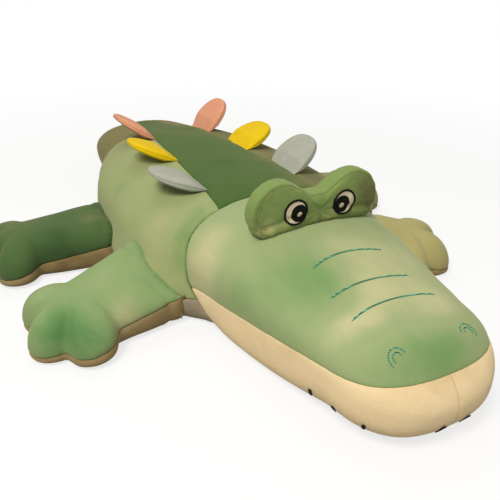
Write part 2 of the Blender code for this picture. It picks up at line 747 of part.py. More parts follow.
def main():
    clear_scene()
    slope = math.tan(NECK_TILT)
    neck = (
        Vector((0, from_nose(HEAD_LENGTH), NECK_MIDDLE)),
        Vector((0, math.cos(NECK_TILT), -math.sin(NECK_TILT))),
    )
    rump = HEAD_LENGTH + BODY_LENGTH
    tail_joint = (Vector((0, from_nose(rump), 0)), Vector((0, 1, 0)))
    creases = (neck, tail_joint)
    neck_top = HEAD_LENGTH + (TRUNK_HEIGHT - NECK_MIDDLE) * slope + OVERRUN
    neck_foot = HEAD_LENGTH - NECK_MIDDLE * slope - OVERRUN
    head = trunk_form(True, 0, neck_top, HEAD_RINGS, NOSE_CROWDING, creases)
    body = trunk_form(False, neck_foot, rump + OVERRUN - neck_foot, BODY_RINGS, 1, creases)
    tail = trunk_form(True, LENGTH, rump - OVERRUN - LENGTH, TAIL_RINGS, TAIL_CROWDING, creases)

    make_body(neck, tail_joint, body)
    make_spikes(body, cutter("spike_cutter", body, SPIKE_GAP))

    nape = neck[0] + Vector((0, math.sin(NECK_TILT), math.cos(NECK_TILT))) * (TRUNK_HEIGHT - NECK_MIDDLE) / math.cos(NECK_TILT)
    head_joint = joint_empty("head_joint", nape)
    for obj in make_head(neck, head, mound_form()):
        hinge_at(obj, head_joint)

    tail_hinge = joint_empty("tail_joint", Vector((0, from_nose(rump), TRUNK_HEIGHT * eased(TOP_SHARES, 2))))
    for obj in make_tail(tail_joint, tail):
        hinge_at(obj, tail_hinge)

    body_cutter = cutter("body_cutter", body, CUT_GAP)
    for name, side, across, root, reach, front_half_width, top_slope, forward in LEGS:
        palm, outwards, forwards = leg_axes(side, across, root, reach, forward)
        form = leg_form(palm, outwards, forwards, reach, front_half_width, top_slope)
        shoulder = joint_empty(f"{name}_leg_joint", shoulder_point(body, side, root, top_slope))
        for obj in make_leg(name, form, sole_seam(palm, outwards, reach), body_cutter):
            hinge_at(obj, shoulder)


main()
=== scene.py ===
"""Looks of a giant plush crocodile: velour sewn over stuffing, felt spikes and embroidered details.

Every sewn form is made from the same sections as the CAD part, only finer. Its skin is drawn in along the
seams, cut into the panels it was sewn from, and filled. Metres, +Z up, the nose points along -Y.
"""

import math
from collections import namedtuple

import bmesh
import bpy
from mathutils import Matrix, Vector, noise
from mathutils.bvhtree import BVHTree


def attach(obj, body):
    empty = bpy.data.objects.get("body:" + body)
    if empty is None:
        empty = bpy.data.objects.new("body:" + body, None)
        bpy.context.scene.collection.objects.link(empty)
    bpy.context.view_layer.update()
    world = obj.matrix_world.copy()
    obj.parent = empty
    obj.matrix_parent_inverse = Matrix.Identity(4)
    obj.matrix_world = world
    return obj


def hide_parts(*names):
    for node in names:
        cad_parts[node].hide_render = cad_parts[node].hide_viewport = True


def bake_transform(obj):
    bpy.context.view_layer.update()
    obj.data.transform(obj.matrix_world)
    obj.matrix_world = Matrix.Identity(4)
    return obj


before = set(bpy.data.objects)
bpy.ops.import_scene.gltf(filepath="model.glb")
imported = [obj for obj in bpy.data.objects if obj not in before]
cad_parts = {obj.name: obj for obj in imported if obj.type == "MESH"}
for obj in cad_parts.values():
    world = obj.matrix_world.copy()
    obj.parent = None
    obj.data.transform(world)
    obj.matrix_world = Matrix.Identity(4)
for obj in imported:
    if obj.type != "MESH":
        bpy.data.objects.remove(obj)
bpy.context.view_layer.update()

# The trunk's line of swelling sections, as in the CAD part
HEAD_LENGTH = 0.42
BODY_LENGTH = 0.55
TAIL_LENGTH = 0.35
LENGTH = HEAD_LENGTH + BODY_LENGTH + TAIL_LENGTH
TRUNK_HALF_WIDTH = 0.207
TRUNK_HEIGHT = 0.182
TRUNK_SINK = 0.010
WIDTH_SHARES = (
    (0, 0.575), (0.24, 0.592), (0.38, 0.642), (0.6, 0.725), (0.83, 0.81), (1, 0.89), (1.09, 0.985),
    (1.2, 1.03), (1.33, 1.055), (1.47, 1.06), (1.6, 1.045), (1.75, 0.98), (1.89, 0.865), (2, 0.765),
    (2.1, 0.715), (2.3, 0.676), (2.5, 0.58), (2.7, 0.435), (2.85, 0.30), (3, 0.20),
)
TOP_SHARES = (
    (0, 0.54), (0.14, 0.70), (0.31, 0.72), (0.43, 0.742), (0.557, 0.845), (0.72, 0.955), (0.9, 1), (1, 0.99),
    (1.11, 0.978), (1.24, 0.984), (1.69, 0.978), (1.89, 0.955), (2, 0.91), (2.1, 0.845), (2.3, 0.775),
    (2.5, 0.74), (2.7, 0.62), (2.85, 0.47), (3, 0.35),
)
WIDEST_SHARES = (
    (0, 0.29), (0.25, 0.385), (0.7, 0.467), (1, 0.478), (1.5, 0.484), (2, 0.505), (2.3, 0.54),
    (2.6, 0.44), (3, 0.2),
)
LOWER_FULLNESS = (
    (0, 2.6), (0.25, 2.7), (0.4, 3.7), (0.6, 5), (0.85, 6), (1.05, 6), (1.3, 4.5), (1.6, 3.2),
    (2, 2.5), (2.3, 2.1), (3, 2),
)
UPPER_FULLNESS = ((0, 2.3), (0.14, 2.5), (0.3, 2.8), (0.43, 2.8), (0.56, 2.45), (0.75, 2.2), (1, 2.1))
# How much wider the weight presses the sides near the floor
PRESS_SHARES = ((0.85, 0), (0.93, 0.05), (1.02, 0.20), (1.15, 0.17), (1.5, 0.07), (1.8, 0.04), (2, 0))
PRESS_HEIGHT = 0.035
PRESS_REACH = 0.045
NOSE_ROUNDING = 0.11
NOSE_FULLNESS = 2.35
TIP_ROUNDING = 0.050
TIP_FULLNESS = 2
NECK_TILT = math.radians(31)
NECK_MIDDLE = 0.100
CREASE_REACH = 0.035
CREASE_DEPTH_SHARE = 0.04
OVERRUN = 0.020
HEAD_CROWDING = 1.7
TAIL_CROWDING = 1.5

# Stuffing: how far inside its form it lies, and how short of a crease it stops
FILLING_DEPTH = 0.008
FILLING_SHORT = 0.013

# Cloth
CLOTH_THICKNESS = 0.0015
# How far below the body's and the head's surface whatever is sewn on them is cut off
HIDDEN_SINK = 0.002
MOUND_SINK = 0.0015
TRUNK_LUMPS = 0.0016
TAIL_LUMPS = 0.0014
LEG_LUMPS = 0.0018
MOUND_LUMPS = 0.0012
SPIKE_LUMPS = 0.0005

# Grooves along the seams: half their width, depth, and depth of the puckers beside them
Groove = namedtuple("Groove", "width depth pucker")
NECK_GROOVE = Groove(0.018, 0.0055, 0.0008)
JAW_GROOVE = Groove(0.006, 0.0011, 0.0005)
JAW_MIDDLE_GROOVE = Groove(0.005, 0.0009, 0.0004)
BACK_GROOVE = Groove(0.009, 0.0025, 0.0009)
BELLY_GROOVE = Groove(0.008, 0.0025, 0.0008)
TAIL_ROOT_GROOVE = Groove(0.016, 0.006, 0.0010)
TAIL_GROOVE = Groove(0.008, 0.0022, 0.0008)
SOLE_GROOVE = Groove(0.008, 0.0022, 0.0013)
MOUND_GROOVE = Groove(0.006, 0.0015, 0.0014)
SPIKE_GROOVE = Groove(0.0035, 0.0012, 0.0004)
GROOVE_REACH = 0.08
CUT_MARGIN = 0.02
# How far from a seam's line the pile is darkened, painted shade in the seam's crease
SEAM_SHADE_WIDTH = 0.0035

# How often each swelling or pucker comes in a metre of noise: coarse and fine
LUMP_SCALES = (8, 23)
PUCKER_SCALES = (70, 150)
GATHER_SCALES = (75, 140)
FOLD_SCALE = 12

# Roots of the legs and of the mound, drawn in where they are sewn on: width and depth
LEG_PINCH = (0.011, 0.0045)
MOUND_PINCH = (0.012, 0.004)
PINCH_SEARCH = 0.06
PINCH_REACH_INSIDE = 0.008
# How far from a root's seam the pile is darkened, painted shade in the crease
ROOT_SHADE_REACH = 0.007
ROOT_GATHERS = 0.0016
ROOT_FOLD_DEPTH = 0.0036
ROOT_FOLD_WIDTH = 0.0045
ROOT_FOLD_PLACE_SHARE = 1.7

# Fineness: faces round each form, and from pole to pole
HEAD_SKIN = (176, 120)
HEAD_BASE = (120, 90)
HEAD_FILLING = (64, 48)
BODY_SKIN = (176, 150)
BODY_BASE = (120, 100)
BODY_FILLING = (64, 60)
TAIL_SKIN = (144, 90)
TAIL_FILLING = (56, 40)
LEG_SKIN = (232, 72)
LEG_FILLING = (72, 24)
MOUND_SKIN = (168, 64)
MOUND_FILLING = (64, 24)
SPIKE_SKIN = (72, 64)

# Seams
JAW_SEAM_HEIGHT = 0.092
JAW_SEAM_FROM_NOSE = 0.034
JAW_SEAM_FALL = math.radians(4.3)
BACK_SEAM_AT_NECK = 0.100
BACK_SEAM_AT_RUMP = 0.055
BACK_SEAM_AT_TIP = 0.010
BACK_SEAM_ABOVE = 0.09
BELLY_SEAM_HEIGHT = 0.045
TIP_SEAM_HEIGHT = 0.022

# Legs
STEM_BACK_HALF_WIDTH = 0.073
STEM_SPREAD_SHARE = 0.08
STEM_BURIED = 0.200
PALM_RADIUS = 0.070
TOE_RADIUS = 0.037
TOE_REACH = 0.105
MIDDLE_TOE_REACH = 0.096
TOE_ANGLES = (-60, 15, 75)
TOE_VALLEYS = (-22, 46)
SHOULDER_HEIGHT = 0.088
PAW_HEIGHT = 0.078
TOE_HEIGHT = 0.076
SOLE_SEAM_AT_ROOT = 0.052
SOLE_SEAM_AT_TOES = 0.009
SOLE_SINK = 0.003
LEAST_RISE = 0.004
LEG_FULLNESS = 2.4
SOLE_FULLNESS = 4.0
PAW_SOFTENING = 4
VALLEY_START = 0.035
VALLEY_RUN = 0.045
VALLEY_WIDTH = 0.010
VALLEY_DEPTH = 0.012
VALLEY_FULL_HEIGHT = 0.05
# The root's places across and from the nose, from the root to the palm, half the stem's width in front,
# slope of the root's top, degrees that it points forward
Leg = namedtuple("Leg", "name side across from_nose reach front_half_width slope forward")
LEGS = (
    Leg("front_left", -1, 0.190, 0.485, 0.155, 0.070, 0.4, 13),
    Leg("front_right", 1, 0.168, 0.476, 0.112, 0.050, 0, 40),
    Leg("rear_left", -1, 0.195, 0.715, 0.185, 0.070, 0, -6),
    Leg("rear_right", 1, 0.165, 0.715, 0.150, 0.070, 0, 12),
)

# Eye mound
MOUND_FROM_NOSE = 0.329
MOUND_HALF_DEPTH = 0.017
MOUND_RISE = 0.0175
LOBE_ACROSS = 0.064
LOBE_RISE = 0.004
LOBE_RADIUS = 0.049
SADDLE_DROP = 0.009
SADDLE_RADIUS = 0.036
MOUND_FULLNESS = 6.0
MOUND_SEAM_SHARE = 0.88
MOUND_BULGE = 0.004
MOUND_FILLING_DEPTH = 0.004
MOUND_SOFTENING = 7

# Spikes
SPIKE_HALF_LENGTH = 0.051
SPIKE_HALF_THICKNESS = 0.0100
SPIKE_HEIGHT = 0.086
SPIKE_BURIED = 0.026
SPIKE_ROOT_SHARE = 0.10
SPIKE_SWELL_SHARE = 0.32
SPIKE_SWEEP = 0.016
SPIKE_FULLNESS = 2.5
SPIKE_ROUNDING = 0.55
# Colour, place from the nose, degrees that the left and the right spike lean outwards
SPIKES = (("grey", 0.567, 72, 57), ("yellow", 0.732, 68, 69), ("pink", 0.893, 56, 48.5))

# Embroidery
EYE_ACROSS = 0.043
EYE_RISE = 0.006
EYE_RADIUS = 0.0205
EYE_RING_WIDTH = 0.0032
PUPIL_RADIUS = 0.0135
PUPIL_SHIFT = 0.0046
PUPIL_DROP = 0.0018
GLINT_RADIUS = 0.0042
GLINT_SHIFT = 0.0010
GLINT_DROP = 0.0020
# Name, middle from the nose, half width, how far forward the ends bend
SNOUT_LINES = (("front", 0.141, 0.069, 0.012), ("middle", 0.188, 0.066, 0.009), ("rear", 0.243, 0.059, 0.010))
NOSTRIL_ACROSS = 0.057
NOSTRIL_FROM_NOSE = 0.054
NOSTRIL_OUTER = 0.0115
NOSTRIL_INNER = 0.0060
NOSTRIL_SWEEP = math.radians(210)
NOSTRIL_TURN = math.radians(16)
# Places along the jaw's curve, from the front to the side
TOOTH_SHARES = (0.10, 0.39, 0.485, 0.575)
TOOTH_HEIGHT = 0.025
TOOTH_HALF_WIDTH = 0.0026
TOOTH_HALF_LENGTH = 0.0092
TOOTH_HALF_THICKNESS = 0.0008
TOOTH_LEAN = 0.002
TOOTH_LIFT = 0.004
LINE_RADIUS = 0.0012
LINE_LIFT = 0.0002
NOSTRIL_LINE_RADIUS = 0.0007
NOSTRIL_LINE_LIFT = 0.0003

# Camera: millimetres, metres and degrees
CAMERA_LENS = 43.2
CAMERA_SENSOR = 36
CAMERA_PLACE = (-0.48, -1.03, 0.55)
CAMERA_TILT = 63
CAMERA_TURN = -28

# Lamps: name, place, aim, size, power and colour
LAMPS = (
    ("key", (-1.35, -1.1, 2.3), (0, -0.1, 0.1), 1.1, 58.5, (1, 0.96, 0.88)),
    ("fill", (1.9, -1.6, 1.5), (0, -0.2, 0.1), 1.6, 9, (1, 0.93, 0.85)),
    ("top", (0.2, 1.4, 2.3), (0, 0.1, 0.1), 1.6, 15, (1, 0.98, 0.94)),
)
SKY_LEVEL = 0.30
FLOOR_SIZE = 30
FLOOR_DROP = 0.0006

# Where each seam is cut so that its groove is round, as shares of the groove's width
SEAM_CUTS = (-0.8, -0.5, -0.28, -0.12, 0, 0.12, 0.28, 0.5, 0.8)

Seam = namedtuple("Seam", "point normal groove holds")


# Camera

def photo_camera():
    data = bpy.data.cameras.new("camera")
    data.lens = CAMERA_LENS
    data.sensor_width = CAMERA_SENSOR
    camera = bpy.data.objects.new("camera", data)
    camera.location = CAMERA_PLACE
    camera.rotation_euler = (math.radians(CAMERA_TILT), 0, math.radians(CAMERA_TURN))
    bpy.context.scene.collection.objects.link(camera)
    bpy.context.scene.camera = camera


# Shapes shared with the part's source

def from_nose(distance):
    return distance - LENGTH / 2


def eased(table, at):
    """A smooth curve through a table of (place, value) pairs, flat beyond its ends."""
    if at <= table[0][0]:
        return table[0][1]
    for i in range(len(table) - 1):
        (x0, y0), (x1, y1) = table[i], table[i + 1]
        if at > x1:
            continue
        before, after = table[max(i - 1, 0)], table[min(i + 2, len(table) - 1)]
        slope0 = (y1 - before[1]) / (x1 - before[0])
        slope1 = (after[1] - y0) / (after[0] - x0)
        t, gap = (at - x0) / (x1 - x0), x1 - x0
        return (
            (2 * t**3 - 3 * t**2 + 1) * y0
            + (t**3 - 2 * t**2 + t) * gap * slope0
            + (3 * t**2 - 2 * t**3) * y1
            + (t**3 - t**2) * gap * slope1
        )
    return table[-1][1]


def rounding(along, reach, fullness):
    """From 0 to 1 over the reach, as the end of an oval rises."""
    short = 1 - min(max(along / reach, 0), 1)
    return (1 - short**fullness) ** (1 / fullness)


def aimed(angle):
    return Vector((math.cos(angle), math.sin(angle)))


def signed_power(value, power):
    return math.copysign(abs(value) ** power, value)


def placed_sphere(segments, rings, place):
    """A sphere whose every point goes to place(share from pole to pole, angle round the poles' axis)."""
    bm = bmesh.new()
    bmesh.ops.create_uvsphere(bm, u_segments=segments, v_segments=rings, radius=1)
    for vert in bm.verts:
        share = math.acos(min(max(vert.co.z, -1), 1)) / math.pi
        vert.co = place(share, math.atan2(vert.co.y, vert.co.x))
    face_outwards(bm)
    return bm


def face_outwards(bm):
    """Turns a closed form's faces outwards."""
    bmesh.ops.recalc_face_normals(bm, faces=bm.faces[:])
    if bm.calc_volume(signed=True) < 0:
        bmesh.ops.reverse_faces(bm, faces=bm.faces[:])
    bm.normal_update()


def grown(bm, by):
    """A copy of a form whose faces all move out by one distance, or in where it is negative."""
    copy = bm.copy()
    copy.normal_update()
    for vert in copy.verts:
        vert.co += vert.normal * by
    copy.normal_update()
    return copy


def trimmed(bm, planes, filled):
    """A copy of a form that keeps only what lies on the side each plane's normal points to."""
    copy = bm.copy()
    for point, normal in planes:
        cut = bmesh.ops.bisect_plane(
            copy,
            geom=copy.verts[:] + copy.edges[:] + copy.faces[:],
            dist=0.00001,
            plane_co=point,
            plane_no=normal,
            clear_inner=True,
        )
        if filled:
            edges = [item for item in cut["geom_cut"] if isinstance(item, bmesh.types.BMEdge)]
            bmesh.ops.contextual_create(copy, geom=edges)
    copy.normal_update()
    return copy


def trunk_station(distance):
    if distance < HEAD_LENGTH:
        return distance / HEAD_LENGTH
    if distance < HEAD_LENGTH + BODY_LENGTH:
        return 1 + (distance - HEAD_LENGTH) / BODY_LENGTH
    return 2 + (distance - HEAD_LENGTH - BODY_LENGTH) / TAIL_LENGTH


def section_point(angle, half_width, top, widest, bottom, fullness_top, fullness_bottom):
    """A point of a cross-section: an oval above its widest height, fuller below it, flat on the floor."""
    rise, fullness = top - widest, fullness_top
    if math.sin(angle) < 0:
        rise, fullness = widest - bottom, fullness_bottom
    across = half_width * signed_power(math.cos(angle), 2 / fullness)
    return across, max(widest + rise * signed_power(math.sin(angle), 2 / fullness), 0)


def trunk_point(distance, angle, on_axis, creases):
    station = trunk_station(distance)
    end = rounding(distance, NOSE_ROUNDING, NOSE_FULLNESS)
    end *= rounding(LENGTH - distance, TIP_ROUNDING, TIP_FULLNESS)
    widest = TRUNK_HEIGHT * eased(WIDEST_SHARES, station)
    axis = Vector((0, from_nose(distance), widest))
    if on_axis:
        return axis
    across, up = section_point(
        angle,
        TRUNK_HALF_WIDTH * eased(WIDTH_SHARES, station) * end,
        widest + (TRUNK_HEIGHT * eased(TOP_SHARES, station) - widest) * end,
        widest,
        widest - (widest + TRUNK_SINK) * end,
        eased(UPPER_FULLNESS, station),
        eased(LOWER_FULLNESS, station),
    )
    across *= 1 + eased(PRESS_SHARES, station) * math.exp(-(((up - PRESS_HEIGHT) / PRESS_REACH) ** 2))
    point = Vector((across, axis.y, up))
    for place, normal in creases:
        away = (point - place).dot(normal) / CREASE_REACH
        point += (axis - point) * CREASE_DEPTH_SHARE * math.exp(-(away**2))
    point.z = max(point.z, 0)
    return point


def trunk_form(rounded, start, reach, fineness, crowding, creases):
    """A stretch of the trunk. Its far end is flat, and its near end is flat or the rounded nose or tip."""
    segments, rings = fineness
    first = 0 if rounded else 1 / rings

    def place(share, angle):
        run = min(max((share - first) / (1 - first - 1 / rings), 0), 1)
        on_axis = min(share, 1 - share) < 1 / (2 * rings)
        return trunk_point(start + reach * run**crowding, angle, on_axis, creases)

    return placed_sphere(segments, rings, place)


# Sewing

def lip(away, width):
    """1 at a seam and 0 at the width, round like two plump edges that meet."""
    near = 1 - min(abs(away) / width, 1)
    return 1 - math.sqrt(1 - near * near)


def everywhere(_):
    return True


def cut_along(bm, seam):
    """Cuts the skin along a seam and beside it, only where the seam holds."""
    reach = seam.groove.width + CUT_MARGIN
    for share in SEAM_CUTS:
        faces = []
        for face in bm.faces:
            corner = face.verts[0].co
            if abs((corner - seam.point).dot(seam.normal)) < reach and seam.holds(corner):
                faces.append(face)
        edges = {edge for face in faces for edge in face.edges}
        verts = {vert for face in faces for vert in face.verts}
        bmesh.ops.bisect_plane(
            bm,
            geom=list(verts) + list(edges) + faces,
            dist=0.0001,
            plane_co=seam.point + seam.normal * (share * seam.groove.width),
            plane_no=seam.normal,
        )


def rough(place, scales, fine=0.5):
    """Noise in two sizes, the fine one weaker."""
    return noise.noise(place * scales[0]) + fine * noise.noise(place * scales[1])


def move_verts(bm, moves):
    """Moves each vertex by its own move, but never below the floor."""
    for vert, move in zip(bm.verts, moves):
        vert.co += move
        vert.co.z = max(vert.co.z, 0)
    bm.normal_update()


def sewn(bm, seams, lumps, light_and_nap_marks=()):
    """The skin drawn in along its seams, with puckers and soft lumps, painted shade in its creases, and
    patches of painted light and shade, partly the pile's brushing.
    """
    for seam in seams:
        cut_along(bm, seam)
    bm.normal_update()
    crease_shade = bm.verts.layers.float.new("seam")
    light_and_nap = bm.verts.layers.float.new("light_and_nap")
    root = bm.verts.layers.float.get("root")
    moves = []
    for vert in bm.verts:
        inward = lumps * rough(vert.co, LUMP_SCALES, 0.45)
        # Painted shade in the crease round a root, where there is one
        near = vert[root] if root else 0
        for seam in seams:
            away = (vert.co - seam.point).dot(seam.normal)
            if abs(away) > GROOVE_REACH or not seam.holds(vert.co):
                continue
            groove = seam.groove
            inward += groove.depth * lip(away, groove.width)
            beside = vert.co - seam.normal * away
            fade = math.exp(-abs(away) / (1.6 * groove.width))
            inward += groove.pucker * fade * rough(beside, PUCKER_SCALES)
            # Painted shade along the seam's line
            near = max(near, 1 - min(abs(away) / SEAM_SHADE_WIDTH, 1))
        vert[crease_shade] = near
        vert[light_and_nap] = painted_light_and_nap(vert.co, light_and_nap_marks)
        moves.append(vert.normal * -inward)
    move_verts(bm, moves)
    return bm


def painted_light_and_nap(place, light_and_nap_marks):
    """How far the patches of painted light and shade, partly the pile's brushing, go up here, or down below
    0.
    """
    amount = 0
    for x, y, z, size, strength in light_and_nap_marks:
        away = (place - Vector((x, y, z))).length_squared / size**2
        amount += strength * math.exp(-away)
    return amount


# Pieces

def piece(name, bm, finish, smooth=True):
    mesh = bpy.data.meshes.new(name)
    bm.to_mesh(mesh)
    if smooth:
        mesh.shade_smooth()
    obj = bpy.data.objects.new(name, mesh)
    bpy.context.scene.collection.objects.link(obj)
    mesh.materials.append(finish)
    return obj


def finished_mesh(obj):
    """Applies the object's modifiers."""
    graph = bpy.context.evaluated_depsgraph_get()
    mesh = bpy.data.meshes.new_from_object(obj.evaluated_get(graph))
    obj.modifiers.clear()
    obj.data = mesh


def on_side(planes):
    """True for a point that lies on the side each plane's normal points to."""
    return lambda place: all((place - point).dot(normal) > 0 for point, normal in planes)


def velour(name, skin, planes, finish, stands_for):
    """One sewn panel: the skin between its seams, with the cloth's thickness inwards."""
    bm = skin.copy()
    keep = on_side(planes)
    gone = [face for face in bm.faces if not keep(face.calc_center_median())]
    bmesh.ops.delete(bm, geom=gone, context="FACES")
    obj = piece(name, bm, FINISH[finish])
    cloth = obj.modifiers.new("Cloth", "SOLIDIFY")
    cloth.thickness = CLOTH_THICKNESS
    cloth.offset = -1
    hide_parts(stands_for)
    return obj


def filling(name, form, planes, stands_for):
    """The stuffing, a little inside its form and short of the creases at its ends."""
    short = [(point + normal * FILLING_SHORT, normal) for point, normal in planes]
    obj = piece(name, trimmed(grown(form, -FILLING_DEPTH), short, filled=True), FINISH["fibre"])
    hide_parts(stands_for)
    return obj


# Materials

def srgb(text):
    """A colour written as six hexadecimal digits, made linear."""
    parts = [int(text[i:i + 2], 16) / 255 for i in (0, 2, 4)]
    return tuple(v / 12.92 if v < 0.04045 else ((v + 0.055) / 1.055) ** 2.4 for v in parts) + (1,)


def node(tree, kind, **values):
    made = tree.nodes.new(kind)
    for name, value in values.items():
        setattr(made, name, value)
    return made


def adjust(shader, **values):
    """Sets a shader's inputs, named with underscores for spaces."""
    for name, value in values.items():
        shader.inputs[name.replace("_", " ")].default_value = value


def feed(tree, socket, source):
    if isinstance(source, bpy.types.NodeSocket):
        tree.links.new(source, socket)
    else:
        socket.default_value = source


def maths(tree, operation, first, second):
    made = node(tree, "ShaderNodeMath", operation=operation)
    feed(tree, made.inputs[0], first)
    feed(tree, made.inputs[1], second)
    return made.outputs[0]


def mixed(tree, factor, first, second, blend="MIX"):
    made = node(tree, "ShaderNodeMix", data_type="RGBA", blend_type=blend)
    feed(tree, made.inputs[0], factor)
    feed(tree, made.inputs[6], first)
    feed(tree, made.inputs[7], second)
    return made.outputs[2]


def ranged(tree, value, low, high, to_low=0.0, to_high=1.0):
    made = node(tree, "ShaderNodeMapRange", interpolation_type="SMOOTHSTEP")
    feed(tree, made.inputs[0], value)
    for socket, number in zip(made.inputs[1:5], (low, high, to_low, to_high)):
        socket.default_value = number
    return made.outputs[0]


def noisy(tree, coordinates, scale, detail=2.0, distortion=0.0):
    made = node(tree, "ShaderNodeTexNoise")
    feed(tree, made.inputs["Vector"], coordinates)
    adjust(made, Scale=scale, Detail=detail, Distortion=distortion)
    return made.outputs["Fac"]


def stretched(tree, coordinates, scale):
    made = node(tree, "ShaderNodeMapping")
    feed(tree, made.inputs["Vector"], coordinates)
    made.inputs["Scale"].default_value = scale
    return made.outputs["Vector"]


def new_group(name, inputs, outputs):
    group = bpy.data.node_groups.new(name, "ShaderNodeTree")
    for title, kind in inputs:
        group.interface.new_socket(title, in_out="INPUT", socket_type=kind)
    for title, kind in outputs:
        group.interface.new_socket(title, in_out="OUTPUT", socket_type=kind)
    return group, node(group, "NodeGroupInput"), node(group, "NodeGroupOutput")


def pile_group():
    """Short pile: random patches, streaks and a fine grain, with placed patches of painted light and shade,
    partly the pile's brushing, and painted shade in its creases.
    """
    colour, value = "NodeSocketColor", "NodeSocketFloat"
    group, given, made = new_group(
        "brushed pile",
        (
            ("Base", colour), ("Patches up", colour), ("Patches down", colour),
            ("Patchiness", value), ("Seam shade", value),
        ),
        (("Colour", colour), ("Height", value)),
    )
    place = node(group, "ShaderNodeTexCoord").outputs["Object"]
    light_and_nap = node(group, "ShaderNodeAttribute", attribute_name="light_and_nap").outputs["Fac"]
    seam = node(group, "ShaderNodeAttribute", attribute_name="seam").outputs["Fac"]
    broad = maths(group, "SUBTRACT", noisy(group, place, 7, 3, 0.7), 0.5)
    streaks = maths(group, "SUBTRACT", noisy(group, stretched(group, place, (1, 0.4, 1)), 42, 4, 0.4), 0.5)
    grain = noisy(group, place, 620, 3)
    lean = maths(group, "ADD", maths(group, "MULTIPLY", broad, 2.2), maths(group, "MULTIPLY", streaks, 0.9))
    lean = maths(group, "MULTIPLY", lean, given.outputs["Patchiness"])
    # The placed patches of painted light and shade, partly the pile's brushing
    lean = maths(group, "ADD", lean, light_and_nap)
    up = ranged(group, lean, 0, 1)
    down = ranged(group, lean, 0, -1)
    shade = mixed(group, up, given.outputs["Base"], given.outputs["Patches up"])
    shade = mixed(group, down, shade, given.outputs["Patches down"])
    speck = ranged(group, grain, 0.25, 0.75, 0.95, 1.04)
    speckled = node(group, "ShaderNodeVectorMath", operation="SCALE")
    feed(group, speckled.inputs[0], shade)
    feed(group, speckled.inputs["Scale"], speck)
    # Painted shade in the creases along the seams and round the roots
    painted_crease_shade = maths(group, "MULTIPLY", seam, given.outputs["Seam shade"])
    shade = mixed(group, painted_crease_shade, speckled.outputs[0], given.outputs["Patches down"])
    feed(group, made.inputs["Colour"], shade)
    height = maths(group, "ADD", maths(group, "MULTIPLY", grain, 0.5), maths(group, "MULTIPLY", streaks, 1.2))
    feed(group, made.inputs["Height"], height)
    return group


def new_material(name):
    made = bpy.data.materials.new(name)
    made.use_nodes = True
    return made, made.node_tree, made.node_tree.nodes["Principled BSDF"]


def bumped(tree, shader, height, distance):
    bump = node(tree, "ShaderNodeBump")
    adjust(bump, Strength=1.0, Distance=distance)
    feed(tree, bump.inputs["Height"], height)
    feed(tree, shader.inputs["Normal"], bump.outputs["Normal"])


def pile(name, base, up, down, patchiness=1.0, seam_shade=0.5, sheen=0.25):
    made, tree, shader = new_material(name)
    group = node(tree, "ShaderNodeGroup", node_tree=bpy.data.node_groups["brushed pile"])
    for title, colour in (("Base", base), ("Patches up", up), ("Patches down", down)):
        group.inputs[title].default_value = srgb(colour)
    adjust(group, Patchiness=patchiness, Seam_shade=seam_shade)
    feed(tree, shader.inputs["Base Color"], group.outputs["Colour"])
    adjust(shader, Roughness=0.92, Specular_IOR_Level=0.2)
    adjust(shader, Sheen_Weight=sheen, Sheen_Roughness=0.45, Sheen_Tint=srgb("FFF6D8"))
    bumped(tree, shader, group.outputs["Height"], 0.0005)
    return made


def felt(name, face, edge):
    """Pressed felt: tangled fibres, cloudy in tone, and a little paler along its edges, a painted highlight.
    """
    made, tree, shader = new_material(name)
    place = node(tree, "ShaderNodeTexCoord").outputs["Object"]
    fibres = noisy(tree, place, 420, 5, 1.5)
    cloudy = noisy(tree, place, 38, 3)
    painted_edge_highlight = ranged(tree, node(tree, "ShaderNodeNewGeometry").outputs["Pointiness"], 0.5, 0.62)
    colour = mixed(tree, ranged(tree, cloudy, 0.35, 0.7, 0, 0.5), srgb(face), srgb(edge))
    # A painted highlight along the edges
    colour = mixed(tree, painted_edge_highlight, colour, srgb(edge))
    feed(tree, shader.inputs["Base Color"], colour)
    adjust(shader, Roughness=0.95, Specular_IOR_Level=0.2, Sheen_Weight=0.05)
    bumped(tree, shader, fibres, 0.0006)
    return made


def thread(name, colour, painted_shine, pitch=0.0011, gloss=0.4):
    """Satin stitching: fine parallel threads, striped with a paler painted highlight."""
    made, tree, shader = new_material(name)
    place = node(tree, "ShaderNodeTexCoord").outputs["Object"]
    wave = node(tree, "ShaderNodeTexWave", wave_type="BANDS", bands_direction="Z")
    feed(tree, wave.inputs["Vector"], place)
    adjust(wave, Scale=math.pi / (10 * pitch), Distortion=0.6)
    ridges = wave.outputs["Fac"]
    # A painted highlight: the paler colour in stripes across the threads
    shade = mixed(tree, ranged(tree, ridges, 0, 0.6), srgb(painted_shine), srgb(colour))
    feed(tree, shader.inputs["Base Color"], shade)
    adjust(shader, Roughness=0.55, Specular_IOR_Level=gloss)
    bumped(tree, shader, ridges, 0.00035)
    return made


def fibre():
    made, tree, shader = new_material("fibre")
    place = node(tree, "ShaderNodeTexCoord").outputs["Object"]
    tufts = noisy(tree, place, 90, 6, 2)
    shade = mixed(tree, ranged(tree, tufts, 0.3, 0.7), srgb("DADAD4"), srgb("F4F4F0"))
    feed(tree, shader.inputs["Base Color"], shade)
    adjust(shader, Roughness=1)
    bumped(tree, shader, tufts, 0.003)
    return made


